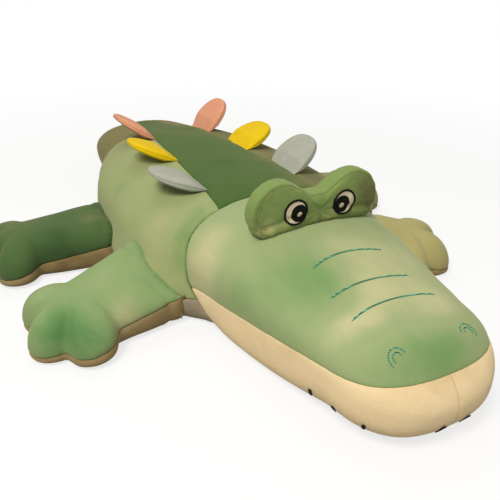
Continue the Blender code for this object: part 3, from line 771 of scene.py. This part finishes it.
def make_finishes():
    pile_group()
    # Where each stretch is, its colour, its colours for patches up and down, and how patchy it is. The
    # stretches are copies of one velour, made lighter and darker where light falls more and less, painted
    # light and shade, such as the darker tail and rear left leg.
    sage = {
        "head": ("head", "99A876", "C2BF92", "76985E", 0.4),
        "side": ("sides", "98A36F", "B4AE80", "6F8F54", 0.5),
        "tail": ("tail", "797242", "8E7A4C", "5A5E31", 0.5),
        "mound": ("eye mound", "7D9354", "B7B97B", "676A3C", 0.4),
        "front_left": ("front left leg", "869F69", "B1B185", "5A854D", 0.5),
        "front_right": ("front right leg", "ADA66D", "C2B079", "767F4C", 0.5),
        "rear_left": ("rear left leg", "4A6538", "777951", "2D4725", 0.5),
        "rear_right": ("rear right leg", "8F9361", "AB9C70", "647344", 0.5),
        "side_right": ("right side", "87884F", "6B6B42", "747C4A", 0.4),
    }
    finishes = {key: pile(f"sage velour of the {where}", *shades) for key, (where, *shades) in sage.items()}
    return finishes | {
        # The back's forest velour is a darker fabric, its colour partly painted shade
        "back": pile("forest velour", "47642E", "676E3A", "355A26"),
        "jaw": pile("cream velour", "F6DDAF", "FFEAC2", "D1B685", 0.6, 0.3, 0.1),
        # The soles' cream is made darker than the jaw's, painted shade on the legs' undersides
        "sole": pile("cream velour of the soles", "9F8A61", "AD9B77", "79663F", 0.8, 0.3, 0.1),
        "belly": pile("grey velour", "9C917A", "B0A68E", "7C725D", 0.8, 0.3, 0.1),
        "fibre": fibre(),
        "grey": felt("grey felt", "A6A89B", "B2B4A8"),
        "yellow": felt("yellow felt", "E2BE08", "EDCB14"),
        "pink": felt("pink felt", "DC9A79", "E4A587"),
        "black": thread("black thread", "060504", "120F0B", gloss=0.15),
        "white": thread("eye white thread", "E3CFB0", "F2E6CE"),
        "teal": thread("teal thread", "1F6B50", "5CC4A4", 0.0016),
    }


# Head

def neck_crease():
    point = Vector((0, from_nose(HEAD_LENGTH), NECK_MIDDLE))
    return point, Vector((0, math.cos(NECK_TILT), -math.sin(NECK_TILT)))


def tail_crease():
    return Vector((0, from_nose(HEAD_LENGTH + BODY_LENGTH), 0)), Vector((0, 1, 0))


def head_form(fineness):
    reach = HEAD_LENGTH + (TRUNK_HEIGHT - NECK_MIDDLE) * math.tan(NECK_TILT) + OVERRUN
    return trunk_form(True, 0, reach, fineness, HEAD_CROWDING, CREASES)


def body_form(fineness):
    start = HEAD_LENGTH - NECK_MIDDLE * math.tan(NECK_TILT) - OVERRUN
    return trunk_form(False, start, HEAD_LENGTH + BODY_LENGTH + OVERRUN - start, fineness, 1, CREASES)


def tail_form(fineness):
    return trunk_form(True, LENGTH, -TAIL_LENGTH - OVERRUN, fineness, TAIL_CROWDING, CREASES)


# Patches of painted light and shade, partly the pile's brushing: place, size, and how far it goes up, or down
# below 0
HEAD_PAINTED_LIGHT_AND_NAP = (
    (-0.163, -0.267, 0.110, 0.048, 0.6),
    (-0.167, -0.300, 0.084, 0.039, 0.5),
    (-0.127, -0.274, 0.151, 0.046, 0.4),
    (-0.060, -0.457, 0.139, 0.052, -0.7),
    (-0.070, -0.408, 0.153, 0.044, -0.3),
    (-0.123, -0.425, 0.125, 0.057, -0.3),
    (-0.151, -0.381, 0.095, 0.040, -0.3),
    (-0.129, -0.506, 0.088, 0.040, -0.2),
    (-0.105, -0.536, 0.110, 0.030, 0.4),
    (-0.079, -0.531, 0.124, 0.025, 0.4),
    (-0.050, -0.535, 0.128, 0.030, 0.7),
    (-0.011, -0.492, 0.135, 0.041, 0.6),
    (0.019, -0.441, 0.146, 0.044, 0.3),
    (0.057, -0.516, 0.129, 0.046, 0.3),
    (0.053, -0.570, 0.125, 0.037, 0.4),
    (0.088, -0.436, 0.139, 0.057, 0.4),
    (0.000, -0.395, 0.158, 0.040, 0.3),
    (0.026, -0.618, 0.111, 0.039, -0.6),
    (-0.017, -0.622, 0.105, 0.041, -0.6),
    (-0.073, -0.608, 0.105, 0.041, -0.5),
)


def make_head():
    point, normal = NECK
    head_side = (point, -normal)
    seam_point = Vector((0, from_nose(JAW_SEAM_FROM_NOSE), JAW_SEAM_HEIGHT))
    above = Vector((0, math.sin(JAW_SEAM_FALL), math.cos(JAW_SEAM_FALL)))
    middle, right = Vector((0, 0, 0)), Vector((1, 0, 0))
    below_jaw_seam = on_side([(seam_point, -above)])
    seams = (
        Seam(point, normal, NECK_GROOVE, everywhere),
        Seam(seam_point, above, JAW_GROOVE, everywhere),
        Seam(middle, right, JAW_MIDDLE_GROOVE, below_jaw_seam),
    )
    skin = sewn(trimmed(head_form(HEAD_SKIN), [head_side], False), seams, TRUNK_LUMPS, HEAD_PAINTED_LIGHT_AND_NAP)
    top, below = (seam_point, above), (seam_point, -above)
    made = [
        filling("head_filling", head_form(HEAD_FILLING), [head_side], "head_stuffing"),
        velour("head_top_velour", skin, [top], "head", "head_top_panel"),
        velour("jaw_velour_left", skin, [below, (middle, -right)], "jaw", "jaw_panel_left"),
        velour("jaw_velour_right", skin, [below, (middle, right)], "jaw", "jaw_panel_right"),
    ]
    for obj in made:
        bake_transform(obj)
    return skin


# Body

def upright_seam(side, start, end):
    """The upright plane on one side through two places, each given as (across, from the nose)."""
    first, last = (Vector((side * across, from_nose(along), 0)) for across, along in (start, end))
    return first, (last - first).cross(Vector((0, 0, side))).normalized()


# Patches of painted light and shade on the body, partly the pile's brushing; the darker ones on the left
# behind the neck are a painted shadow under the head's rear
BODY_PAINTED_LIGHT_AND_NAP = (
    (-0.130, -0.190, 0.152, 0.023, -0.6),
    (-0.158, -0.203, 0.125, 0.025, -0.8),
    (-0.172, -0.222, 0.092, 0.023, -0.6),
    (-0.178, -0.140, 0.120, 0.046, 0.4),
    (-0.188, -0.040, 0.110, 0.034, 0.3),
    (-0.185, 0.040, 0.130, 0.023, -0.3),
    (-0.150, 0.030, 0.152, 0.018, -0.2),
    (0.125, -0.170, 0.168, 0.055, 0.9),
    (0.120, -0.060, 0.170, 0.055, 0.9),
    (0.115, 0.050, 0.170, 0.055, 0.9),
    (0.105, 0.160, 0.168, 0.055, 0.9),
    (0.090, 0.260, 0.160, 0.050, 0.8),
)


def make_body():
    ends = [NECK, (TAIL_JOINT[0], -TAIL_JOINT[1])]
    up = Vector((0, 0, 1))
    low = Vector((0, 0, BELLY_SEAM_HEIGHT))
    neck_place, rump_place = (BACK_SEAM_AT_NECK, HEAD_LENGTH), (BACK_SEAM_AT_RUMP, HEAD_LENGTH + BODY_LENGTH)
    left, right = (upright_seam(side, neck_place, rump_place) for side in (-1, 1))
    inner = [(point, -outwards) for point, outwards in (left, right)]

    def on_back(place):
        return place.z > BACK_SEAM_ABOVE

    seams = [Seam(*line, BACK_GROOVE, on_back) for line in (left, right)]
    seams.append(Seam(low, up, BELLY_GROOVE, everywhere))
    seams.append(Seam(*NECK, NECK_GROOVE, everywhere))
    seams.append(Seam(*TAIL_JOINT, TAIL_ROOT_GROOVE, everywhere))
    skin = sewn(trimmed(body_form(BODY_SKIN), ends, False), seams, TRUNK_LUMPS, BODY_PAINTED_LIGHT_AND_NAP)
    made = [
        filling("body_filling", body_form(BODY_FILLING), ends, "body_stuffing"),
        velour("back_velour", skin, [(low, up)] + inner, "back", "back_panel"),
        velour("side_velour_left", skin, [(low, up), left], "side", "side_panel_left"),
        velour("side_velour_right", skin, [(low, up), right], "side_right", "side_panel_right"),
        velour("belly_velour", skin, [(low, -up)], "belly", "belly_panel"),
    ]
    for obj in made:
        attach(obj, "body")
    return skin


def make_tail():
    root = Vector((0, TAIL_JOINT[0].y, BELLY_SEAM_HEIGHT))
    tip = Vector((0, from_nose(LENGTH), TIP_SEAM_HEIGHT))
    up = Vector((1, 0, 0)).cross(tip - root).normalized()
    rump_place, tip_place = (BACK_SEAM_AT_RUMP, HEAD_LENGTH + BODY_LENGTH), (BACK_SEAM_AT_TIP, LENGTH)
    left, right = (upright_seam(side, rump_place, tip_place) for side in (-1, 1))
    inner = [(point, -outwards) for point, outwards in (left, right)]
    upper = on_side([(root, up)])
    seams = [Seam(*line, TAIL_GROOVE, upper) for line in (left, right)]
    seams.append(Seam(root, up, TAIL_GROOVE, everywhere))
    seams.append(Seam(*TAIL_JOINT, TAIL_ROOT_GROOVE, everywhere))
    skin = sewn(trimmed(tail_form(TAIL_SKIN), [TAIL_JOINT], False), seams, TAIL_LUMPS)
    made = [
        filling("tail_filling", tail_form(TAIL_FILLING), [TAIL_JOINT], "tail_stuffing"),
        velour("tail_top_velour", skin, [(root, up)] + inner, "back", "tail_top_panel"),
        velour("tail_side_velour_left", skin, [(root, up), left], "tail", "tail_side_panel_left"),
        velour("tail_side_velour_right", skin, [(root, up), right], "tail", "tail_side_panel_right"),
        velour("tail_under_velour", skin, [(root, -up)], "belly", "tail_under_panel"),
    ]
    for obj in made:
        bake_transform(obj)


# Outlines seen from above or from the front

def disc_exit(direction, centre, radius):
    """How far a ray from the origin runs before it leaves a disc, or 0 where it misses."""
    along = direction.dot(centre)
    inside = along**2 - centre.length_squared + radius**2
    return along + math.sqrt(inside) if inside > 0 and along > 0 or centre.length < radius else 0


def even_outline(exit_at, softness, segments):
    """(angle, radius) pairs at even steps along an outline whose corners are softened over some degrees."""
    samples = 720
    radii = [exit_at(2 * math.pi * i / samples) for i in range(samples)]
    spread = int(3 * softness * 2)
    weights = [math.exp(-((i / 2 / softness) ** 2) / 2) for i in range(-spread, spread + 1)]
    total = sum(weights)
    soft = [
        sum(weight * radii[(i + j - spread) % samples] for j, weight in enumerate(weights)) / total
        for i in range(samples)
    ]
    turns = [2 * math.pi * i / samples for i in range(samples)]
    places = [aimed(turn) * reach for turn, reach in zip(turns, soft)]
    lengths = [0]
    for i in range(samples):
        lengths.append(lengths[-1] + (places[(i + 1) % samples] - places[i]).length)
    made, at = [], 0
    for step in range(segments):
        wanted = lengths[-1] * step / segments
        while lengths[at + 1] < wanted:
            at += 1
        share = (wanted - lengths[at]) / (lengths[at + 1] - lengths[at])
        radius = soft[at] + (soft[(at + 1) % samples] - soft[at]) * share
        made.append((2 * math.pi * (at + share) / samples, radius))
    return made


# Legs

def paw_exit(leg):
    def exit_at(angle):
        direction = aimed(angle)
        reach = PALM_RADIUS
        for degrees, tip in zip(TOE_ANGLES, (TOE_REACH, MIDDLE_TOE_REACH, TOE_REACH)):
            turn = math.radians(degrees)
            toe = aimed(turn) * (tip - TOE_RADIUS)
            reach = max(reach, disc_exit(direction, toe, TOE_RADIUS))
        if direction.x < 0:
            width = leg.front_half_width if direction.y > 0 else STEM_BACK_HALF_WIDTH
            side = width / max(abs(direction.y) + STEM_SPREAD_SHARE * direction.x, 1e-6)
            reach = max(reach, min(side, (leg.reach + STEM_BURIED) / -direction.x))
        return reach

    return exit_at


def toe_valley(plan):
    """How deep the pile dips between two toes, from 0 to 1."""
    deepest = 0
    for degrees in TOE_VALLEYS:
        along = aimed(math.radians(degrees))
        run = plan.dot(along)
        aside = plan.x * along.y - plan.y * along.x
        if run > 0:
            rise = min(max((run - VALLEY_START) / VALLEY_RUN, 0), 1)
            deepest = max(deepest, rise * math.exp(-((aside / VALLEY_WIDTH) ** 2)))
    return deepest


def leg_axes(leg):
    """The palm's middle on the floor, and the directions along the leg and across it."""
    turn = math.radians(leg.forward)
    outwards = Vector((leg.side * math.cos(turn), -math.sin(turn), 0))
    forwards = Vector((leg.side * -math.sin(turn), -math.cos(turn), 0))
    root = Vector((leg.side * leg.across, from_nose(leg.from_nose), 0))
    return root + outwards * leg.reach, outwards, forwards


def sole_fall(leg):
    return (SOLE_SEAM_AT_ROOT - SOLE_SEAM_AT_TOES) / (leg.reach + TOE_REACH)


def leg_form(leg, fineness, grow):
    palm, outwards, forwards = leg_axes(leg)
    segments, rings = fineness
    outline = even_outline(paw_exit(leg), PAW_SOFTENING, segments)
    heights = ((-leg.reach, SHOULDER_HEIGHT), (0, PAW_HEIGHT), (TOE_REACH, TOE_HEIGHT))
    fall = sole_fall(leg)

    def place(share, angle):
        turn, radius = outline[round(angle / (2 * math.pi) * segments) % segments]
        upper = share <= 0.5
        fullness = LEG_FULLNESS if upper else SOLE_FULLNESS
        flat = (radius + grow) * abs(math.sin(math.pi * share)) ** (2 / fullness)
        lift = abs(math.cos(math.pi * share)) ** (2 / fullness)
        plan = aimed(turn) * flat
        seam = SOLE_SEAM_AT_ROOT - fall * max(plan.x + leg.reach, 0)
        if upper:
            slope = leg.slope * plan.y * min(max(-plan.x / leg.reach, 0), 1)
            top = eased(heights, plan.x) - slope + grow
            up = seam + max(top - seam, LEAST_RISE) * lift
            up -= VALLEY_DEPTH * toe_valley(plan) * min(up / VALLEY_FULL_HEIGHT, 1)
        else:
            up = seam - (seam + SOLE_SINK) * lift
        return palm + outwards * plan.x + forwards * plan.y + Vector((0, 0, max(up, -grow)))

    return placed_sphere(segments, rings, place)


def pinched_root(bm, tree, width, depth):
    """Draws a form in where it is sewn to what the tree holds, with a fold beside the seam."""
    bm.normal_update()
    root = bm.verts.layers.float.new("root")
    moves = []
    for vert in bm.verts:
        near, normal, _, away = tree.find_nearest(vert.co, PINCH_SEARCH)
        if near is None:
            moves.append(Vector((0, 0, 0)))
            continue
        held = 1
        if (vert.co - near).dot(normal) < 0:
            held = math.exp(-((away / PINCH_REACH_INSIDE) ** 2))
            away = 0
        # Painted shade in the crease round the root
        vert[root] = math.exp(-((away / ROOT_SHADE_REACH) ** 2))
        gathers = ROOT_GATHERS * rough(near, GATHER_SCALES)
        inward = depth * lip(away, width) + gathers * math.exp(-away / (1.5 * width))
        from_fold = (away - ROOT_FOLD_PLACE_SHARE * width) / ROOT_FOLD_WIDTH
        inward += ROOT_FOLD_DEPTH * math.exp(-(from_fold**2)) * (0.6 + noise.noise(near * FOLD_SCALE))
        moves.append(vert.normal * (-inward * held))
    move_verts(bm, moves)


def cut_off(bm, cutter):
    """The form less what lies inside the cutter."""
    obj = piece("cut", bm, FINISH["fibre"])
    boolean = obj.modifiers.new("Cut", "BOOLEAN")
    boolean.operation = "DIFFERENCE"
    boolean.solver = "EXACT"
    boolean.object = cutter
    finished_mesh(obj)
    made = bmesh.new()
    made.from_mesh(obj.data)
    bpy.data.objects.remove(obj)
    return made


def without_cap(bm, tree):
    """The form without the faces that lie against what it is sewn to."""
    cap = []
    for face in bm.faces:
        centre = face.calc_center_median()
        near, normal, _, away = tree.find_nearest(centre, 0.004)
        if near is not None and away < 0.0006 and abs(face.normal.dot(normal)) > 0.8:
            cap.append(face)
    bmesh.ops.delete(bm, geom=cap, context="FACES")
    return bm


# Patches of painted light and shade on the legs, partly the pile's brushing
LEG_PAINTED_LIGHT_AND_NAP = {
    "front_left": (
        (-0.384, -0.263, 0.050, 0.046, -0.6),
        (-0.360, -0.305, 0.040, 0.040, -0.6),
        (-0.292, -0.268, 0.043, 0.029, 0.9),
        (-0.222, -0.222, 0.085, 0.029, -0.4),
        (-0.395, -0.181, 0.062, 0.037, 0.4),
        (-0.310, -0.195, 0.080, 0.040, 0.3),
    ),
    "rear_left": (
        (-0.326, 0.010, 0.045, 0.061, -0.7),
        (-0.258, 0.040, 0.095, 0.029, 0.6),
        (-0.387, 0.099, 0.073, 0.044, 0.6),
    ),
}


def make_leg(leg, body_tree, shallow_tree, cutter):
    palm, outwards, _ = leg_axes(leg)
    root = palm - outwards * leg.reach
    # The seam round the sole falls from the root to the toes
    above = (Vector((0, 0, 1)) + outwards * sole_fall(leg)).normalized()
    seam = root + Vector((0, 0, SOLE_SEAM_AT_ROOT)), above
    skin = without_cap(cut_off(leg_form(leg, LEG_SKIN, 0), cutter), shallow_tree)
    pinched_root(skin, body_tree, *LEG_PINCH)
    skin = sewn(skin, (Seam(*seam, SOLE_GROOVE, everywhere),), LEG_LUMPS, LEG_PAINTED_LIGHT_AND_NAP.get(leg.name, ()))
    inside = cut_off(leg_form(leg, LEG_FILLING, -FILLING_DEPTH), cutter)
    name = f"{leg.name}_leg"
    made = [
        filling(f"{name}_filling", inside, [], f"{name}_stuffing"),
        velour(f"{name}_top_velour", skin, [seam], leg.name, f"{name}_top_panel"),
        velour(f"{name}_sole_velour", skin, [(seam[0], -seam[1])], "sole", f"{name}_sole"),
    ]
    for obj in made:
        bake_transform(obj)


# Eye mound

def mound_height():
    """The height of the mound's middle, a little above the head's crown."""
    return TRUNK_HEIGHT * eased(TOP_SHARES, trunk_station(MOUND_FROM_NOSE)) + MOUND_RISE


def mound_form(fineness, grow):
    segments, rings = fineness
    discs = [(Vector((x, LOBE_RISE)), LOBE_RADIUS) for x in (-LOBE_ACROSS, LOBE_ACROSS)]
    discs.append((Vector((0, -SADDLE_DROP)), SADDLE_RADIUS))
    middle = mound_height()

    def exit_at(angle):
        direction = aimed(angle)
        return max(disc_exit(direction, disc, radius) for disc, radius in discs)

    outline = even_outline(exit_at, MOUND_SOFTENING, segments)

    def place(share, angle):
        turn, radius = outline[round(angle / (2 * math.pi) * segments) % segments]
        flat = (radius + grow) * abs(math.sin(math.pi * share)) ** (2 / MOUND_FULLNESS)
        dome = MOUND_BULGE * (1 - abs(math.sin(math.pi * share)) ** 1.2)
        depth = signed_power(math.cos(math.pi * share), 2 / MOUND_FULLNESS) * (MOUND_HALF_DEPTH + grow + dome)
        return Vector((
            math.cos(turn) * flat,
            from_nose(MOUND_FROM_NOSE) - depth,
            middle + math.sin(turn) * flat,
        ))

    return placed_sphere(segments, rings, place)


# Patches of painted light and shade on the eye mound, partly the pile's brushing: its left lobe lighter and
# its right lobe darker
MOUND_PAINTED_LIGHT_AND_NAP = (
    (-0.090, -0.350, 0.178, 0.018, 0.9),
    (-0.060, -0.350, 0.172, 0.018, 0.5),
    (0.095, -0.350, 0.195, 0.026, -0.9),
    (0.080, -0.350, 0.225, 0.026, -0.5),
    (0.020, -0.350, 0.178, 0.018, 0.5),
)


def make_mound(head_tree, shallow_tree, cutter):
    seam = MOUND_HALF_DEPTH * MOUND_SEAM_SHARE
    middle = from_nose(MOUND_FROM_NOSE)
    front, back = Vector((0, middle - seam, 0)), Vector((0, middle + seam, 0))
    backwards = Vector((0, 1, 0))
    form = mound_form(MOUND_SKIN, 0)
    pinched_root(form, head_tree, *MOUND_PINCH)
    seams = [Seam(place, backwards, MOUND_GROOVE, everywhere) for place in (front, back)]
    skin = sewn(form, seams, MOUND_LUMPS, MOUND_PAINTED_LIGHT_AND_NAP)
    tree = BVHTree.FromBMesh(skin)
    skin = without_cap(cut_off(skin, cutter), shallow_tree)
    inside = cut_off(mound_form(MOUND_FILLING, -MOUND_FILLING_DEPTH), cutter)
    between = [(front, backwards), (back, -backwards)]
    made = [
        filling("eye_mound_filling", inside, [], "eye_mound_stuffing"),
        velour("eye_mound_front_velour", skin, [(front, -backwards)], "mound", "eye_mound_front_panel"),
        velour("eye_mound_gusset_velour", skin, between, "mound", "eye_mound_gusset"),
        velour("eye_mound_back_velour", skin, [(back, backwards)], "mound", "eye_mound_back_panel"),
    ]
    for obj in made:
        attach(obj, "head")
    return tree


# Embroidery

def laid_on(bm, tree, centre):
    """Lays flat stitching, drawn round the origin, on the front of the eye mound."""
    for vert in bm.verts:
        start = Vector((centre[0] + vert.co.x, -LENGTH, centre[1] + vert.co.y))
        hit = tree.ray_cast(start, Vector((0, 1, 0)))[0]
        vert.co = hit - Vector((0, vert.co.z, 0))
    bmesh.ops.recalc_face_normals(bm, faces=bm.faces[:])
    return bm


def stitched_disc(radius, lift, height):
    bm = bmesh.new()
    bmesh.ops.create_uvsphere(bm, u_segments=56, v_segments=20, radius=1)
    for vert in bm.verts:
        flat = Vector((vert.co.x, vert.co.y)).length
        rise = math.sqrt(max(1 - flat**4, 0)) * math.copysign(1, vert.co.z) if abs(vert.co.z) > 1e-4 else 0
        vert.co = Vector((vert.co.x * radius, vert.co.y * radius, lift + height * rise))
    return bm


def stitched_ring(radius, width, lift, height):
    bm = bmesh.new()
    bmesh.ops.create_circle(bm, segments=14, radius=1, matrix=Matrix.Rotation(math.pi / 2, 4, "X"))
    for vert in bm.verts:
        vert.co = Vector((radius - width / 2 + vert.co.x * width / 2, 0, lift + vert.co.z * height))
    bmesh.ops.spin(
        bm,
        geom=bm.verts[:] + bm.edges[:],
        cent=(0, 0, 0),
        axis=(0, 0, 1),
        angle=2 * math.pi,
        steps=64,
        use_merge=True,
    )
    return bm


def make_eyes(tree):
    for name, side in (("left", -1), ("right", 1)):
        eye = (side * EYE_ACROSS, mound_height() + EYE_RISE)
        pupil = (eye[0] - side * PUPIL_SHIFT, eye[1] - PUPIL_DROP)
        glint = (pupil[0] - side * GLINT_SHIFT, pupil[1] - GLINT_DROP)
        ball = EYE_RADIUS - EYE_RING_WIDTH
        layers = (
            ("eye_ring", stitched_ring(EYE_RADIUS, EYE_RING_WIDTH, 0.0006, 0.0012), eye, "black"),
            ("eye_white", stitched_disc(ball + 0.0004, 0.0002, 0.0008), eye, "white"),
            ("pupil", stitched_disc(PUPIL_RADIUS, 0.0012, 0.0009), pupil, "black"),
            ("eye_glint", stitched_disc(GLINT_RADIUS, 0.0022, 0.0008), glint, "white"),
        )
        for title, bm, centre, finish in layers:
            obj = piece(f"{title}_stitching_{name}", laid_on(bm, tree, centre), FINISH[finish])
            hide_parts(f"{title}_{name}")
            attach(obj, "head")


def on_head(tree, x, y, lift):
    hit, normal, _, _ = tree.ray_cast(Vector((x, y, LENGTH)), Vector((0, 0, -1)))
    return hit + normal * lift


def stitched_line(name, points, radius, stands_for):
    """A raised line of stitching, round in section, that narrows at its ends."""
    curve = bpy.data.curves.new(name, "CURVE")
    curve.dimensions = "3D"
    curve.bevel_depth = radius
    curve.bevel_resolution = 3
    curve.use_fill_caps = True
    spline = curve.splines.new("POLY")
    spline.points.add(len(points) - 1)
    for i, (point, place) in enumerate(zip(spline.points, points)):
        point.co = (*place, 1)
        point.radius = min(1, 0.45 + 0.3 * min(i, len(points) - 1 - i))
    obj = bpy.data.objects.new(name, curve)
    bpy.context.scene.collection.objects.link(obj)
    curve.materials.append(FINISH["teal"])
    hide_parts(stands_for)
    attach(obj, "head")


def make_snout(tree):
    for name, middle, half_width, forward in SNOUT_LINES:
        points = []
        for i in range(61):
            share = i / 30 - 1
            y = from_nose(middle - forward * share**2)
            points.append(on_head(tree, share * half_width, y, LINE_LIFT))
        stitched_line(f"snout_line_{name}_thread", points, LINE_RADIUS, f"snout_line_{name}")
    for name, side in (("left", -1), ("right", 1)):
        for ring, radius in (("outer", NOSTRIL_OUTER), ("inner", NOSTRIL_INNER)):
            points = []
            for i in range(33):
                turn = NOSTRIL_TURN + NOSTRIL_SWEEP * (i / 32 - 0.5)
                x = side * (NOSTRIL_ACROSS + radius * math.sin(turn))
                y = from_nose(NOSTRIL_FROM_NOSE) + radius * math.cos(turn)
                points.append(on_head(tree, x, y, NOSTRIL_LINE_LIFT))
            nostril = f"nostril_{ring}_{name}"
            stitched_line(f"{nostril}_thread", points, NOSTRIL_LINE_RADIUS, nostril)


def make_teeth(tree):
    for name, side in (("left", -1), ("right", 1)):
        for number, share in enumerate(TOOTH_SHARES, 1):
            turn = math.pi / 2 * (1 - share)
            aim = Vector((side * math.cos(turn), -math.sin(turn), 0))
            inside = Vector((0, from_nose(NOSE_ROUNDING + HEAD_LENGTH * share / 2), TOOTH_HEIGHT))
            hit, normal, _, _ = tree.ray_cast(inside, aim)
            along = Vector((0, 0, 1)).cross(normal).normalized()
            up = normal.cross(along)
            bm = bmesh.new()
            bmesh.ops.create_cube(bm, size=1)
            bmesh.ops.subdivide_edges(bm, edges=bm.edges[:], cuts=3, use_grid_fill=True)
            for vert in bm.verts:
                x, y, z = vert.co * 2
                x, y = x * math.sqrt(1 - y * y / 4), y * math.sqrt(1 - x * x / 4)
                vert.co = (
                    hit
                    + along * (TOOTH_HALF_WIDTH * x + TOOTH_LEAN * y)
                    + up * (TOOTH_LIFT + TOOTH_HALF_LENGTH * y)
                    + normal * (TOOTH_HALF_THICKNESS / 2 + TOOTH_HALF_THICKNESS * z)
                )
            bmesh.ops.recalc_face_normals(bm, faces=bm.faces[:])
            obj = piece(f"tooth_stitch_thread_{name}_{number}", bm, FINISH["black"])
            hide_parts(f"tooth_stitch_{name}_{number}")
            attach(obj, "head")


# Spikes

def make_spikes(tree, cutter):
    for colour, distance, left_lean, right_lean in SPIKES:
        for name, side, lean in (("left", -1, left_lean), ("right", 1, right_lean)):
            along = (distance - HEAD_LENGTH) / BODY_LENGTH
            across_back = BACK_SEAM_AT_NECK + (BACK_SEAM_AT_RUMP - BACK_SEAM_AT_NECK) * along
            above = Vector((side * across_back, from_nose(distance), LENGTH))
            root = tree.ray_cast(above, Vector((0, 0, -1)))[0]
            turn = math.radians(lean)
            outwards = Vector((side * math.sin(turn), 0, math.cos(turn)))
            across = Vector((side * math.cos(turn), 0, -math.sin(turn)))
            back = Vector((0, 1, 0))

            def place(share, angle):
                rise = (math.cos(math.pi * share) + 1) / 2
                up = (SPIKE_HEIGHT + SPIKE_BURIED) * rise - SPIKE_BURIED
                wide = abs(math.sin(math.pi * share)) ** (2 / SPIKE_FULLNESS)
                swell = min(max(up, 0) / (SPIKE_HEIGHT * SPIKE_SWELL_SHARE), 1)
                thin = SPIKE_ROOT_SHARE + (1 - SPIKE_ROOT_SHARE) * swell
                edge = signed_power(math.cos(angle), SPIKE_ROUNDING)
                face = signed_power(math.sin(angle), SPIKE_ROUNDING)
                return (
                    root
                    + outwards * up
                    + back * (SPIKE_HALF_LENGTH * wide * edge + SPIKE_SWEEP * max(up, 0) / SPIKE_HEIGHT)
                    + across * (SPIKE_HALF_THICKNESS * thin * wide * face)
                )

            bm = placed_sphere(*SPIKE_SKIN, place)
            skin = sewn(cut_off(bm, cutter), (Seam(root, across, SPIKE_GROOVE, everywhere),), SPIKE_LUMPS)
            obj = piece(f"{colour}_spike_{name}", skin, FINISH[colour])
            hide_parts(f"spike_{colour}_{name}")
            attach(obj, f"spike_{colour}_{name}")


# Studio

def area_light(name, place, aim, size, power, colour):
    data = bpy.data.lights.new(name, "AREA")
    data.shape = "DISK"
    data.size = size
    data.energy = power
    data.color = colour
    lamp = bpy.data.objects.new(name, data)
    lamp.location = place
    lamp.rotation_euler = (Vector(aim) - Vector(place)).to_track_quat("-Z", "Y").to_euler()
    bpy.context.scene.collection.objects.link(lamp)


def make_studio():
    bm = bmesh.new()
    bmesh.ops.create_grid(bm, x_segments=1, y_segments=1, size=FLOOR_SIZE)
    bmesh.ops.translate(bm, verts=bm.verts[:], vec=(0, 0, -FLOOR_DROP))
    made, tree, shader = new_material("studio floor")
    adjust(shader, Roughness=0.9)
    light = node(tree, "ShaderNodeEmission")
    adjust(light, Strength=1.0)
    seen = node(tree, "ShaderNodeLightPath").outputs["Is Camera Ray"]
    feed(tree, shader.inputs["Base Color"], mixed(tree, seen, (0.38, 0.37, 0.35, 1), (0.9, 0.9, 0.9, 1)))
    both = node(tree, "ShaderNodeMixShader")
    place = node(tree, "ShaderNodeTexCoord").outputs["Object"]
    away = node(tree, "ShaderNodeVectorMath", operation="LENGTH")
    feed(tree, away.inputs[0], place)
    # The floor fades into the background away from the part
    glow = ranged(tree, away.outputs["Value"], 0.5, 1.7, 0.74, 1)
    feed(tree, both.inputs[0], maths(tree, "MULTIPLY", seen, glow))
    feed(tree, both.inputs[1], shader.outputs[0])
    feed(tree, both.inputs[2], light.outputs[0])
    feed(tree, tree.nodes["Material Output"].inputs["Surface"], both.outputs[0])
    piece("studio_floor", bm, made, smooth=False)

    world = bpy.data.worlds.new("studio")
    bpy.context.scene.world = world
    world.use_nodes = True
    tree = world.node_tree
    sky = tree.nodes["Background"]
    sky.inputs["Color"].default_value = (1, 1, 1, 1)
    seen = node(tree, "ShaderNodeLightPath").outputs["Is Camera Ray"]
    level = node(tree, "ShaderNodeMix", data_type="FLOAT")
    feed(tree, level.inputs[0], seen)
    level.inputs[2].default_value = SKY_LEVEL
    level.inputs[3].default_value = 1.0
    feed(tree, sky.inputs["Strength"], level.outputs[0])

    for lamp in LAMPS:
        area_light(*lamp)


photo_camera()
bpy.context.scene.view_settings.view_transform = "Standard"
FINISH = make_finishes()
NECK = neck_crease()
TAIL_JOINT = tail_crease()
CREASES = (NECK, TAIL_JOINT)

head_skin = make_head()
body_skin = make_body()
make_tail()

body_base = body_form(BODY_BASE)
shallow_body = grown(body_base, -HIDDEN_SINK)
body_cutter = piece("body_cutter", shallow_body, FINISH["fibre"])
body_tree, shallow_tree = BVHTree.FromBMesh(body_base), BVHTree.FromBMesh(shallow_body)
for leg in LEGS:
    make_leg(leg, body_tree, shallow_tree, body_cutter)
make_spikes(BVHTree.FromBMesh(body_skin), body_cutter)
bpy.data.objects.remove(body_cutter)

head_base = head_form(HEAD_BASE)
shallow_head = grown(head_base, -MOUND_SINK)
head_cutter = piece("head_cutter", shallow_head, FINISH["fibre"])
mound_tree = make_mound(BVHTree.FromBMesh(head_base), BVHTree.FromBMesh(shallow_head), head_cutter)
bpy.data.objects.remove(head_cutter)
make_eyes(mound_tree)
head_tree = BVHTree.FromBMesh(head_skin)
make_snout(head_tree)
make_teeth(head_tree)
make_studio()
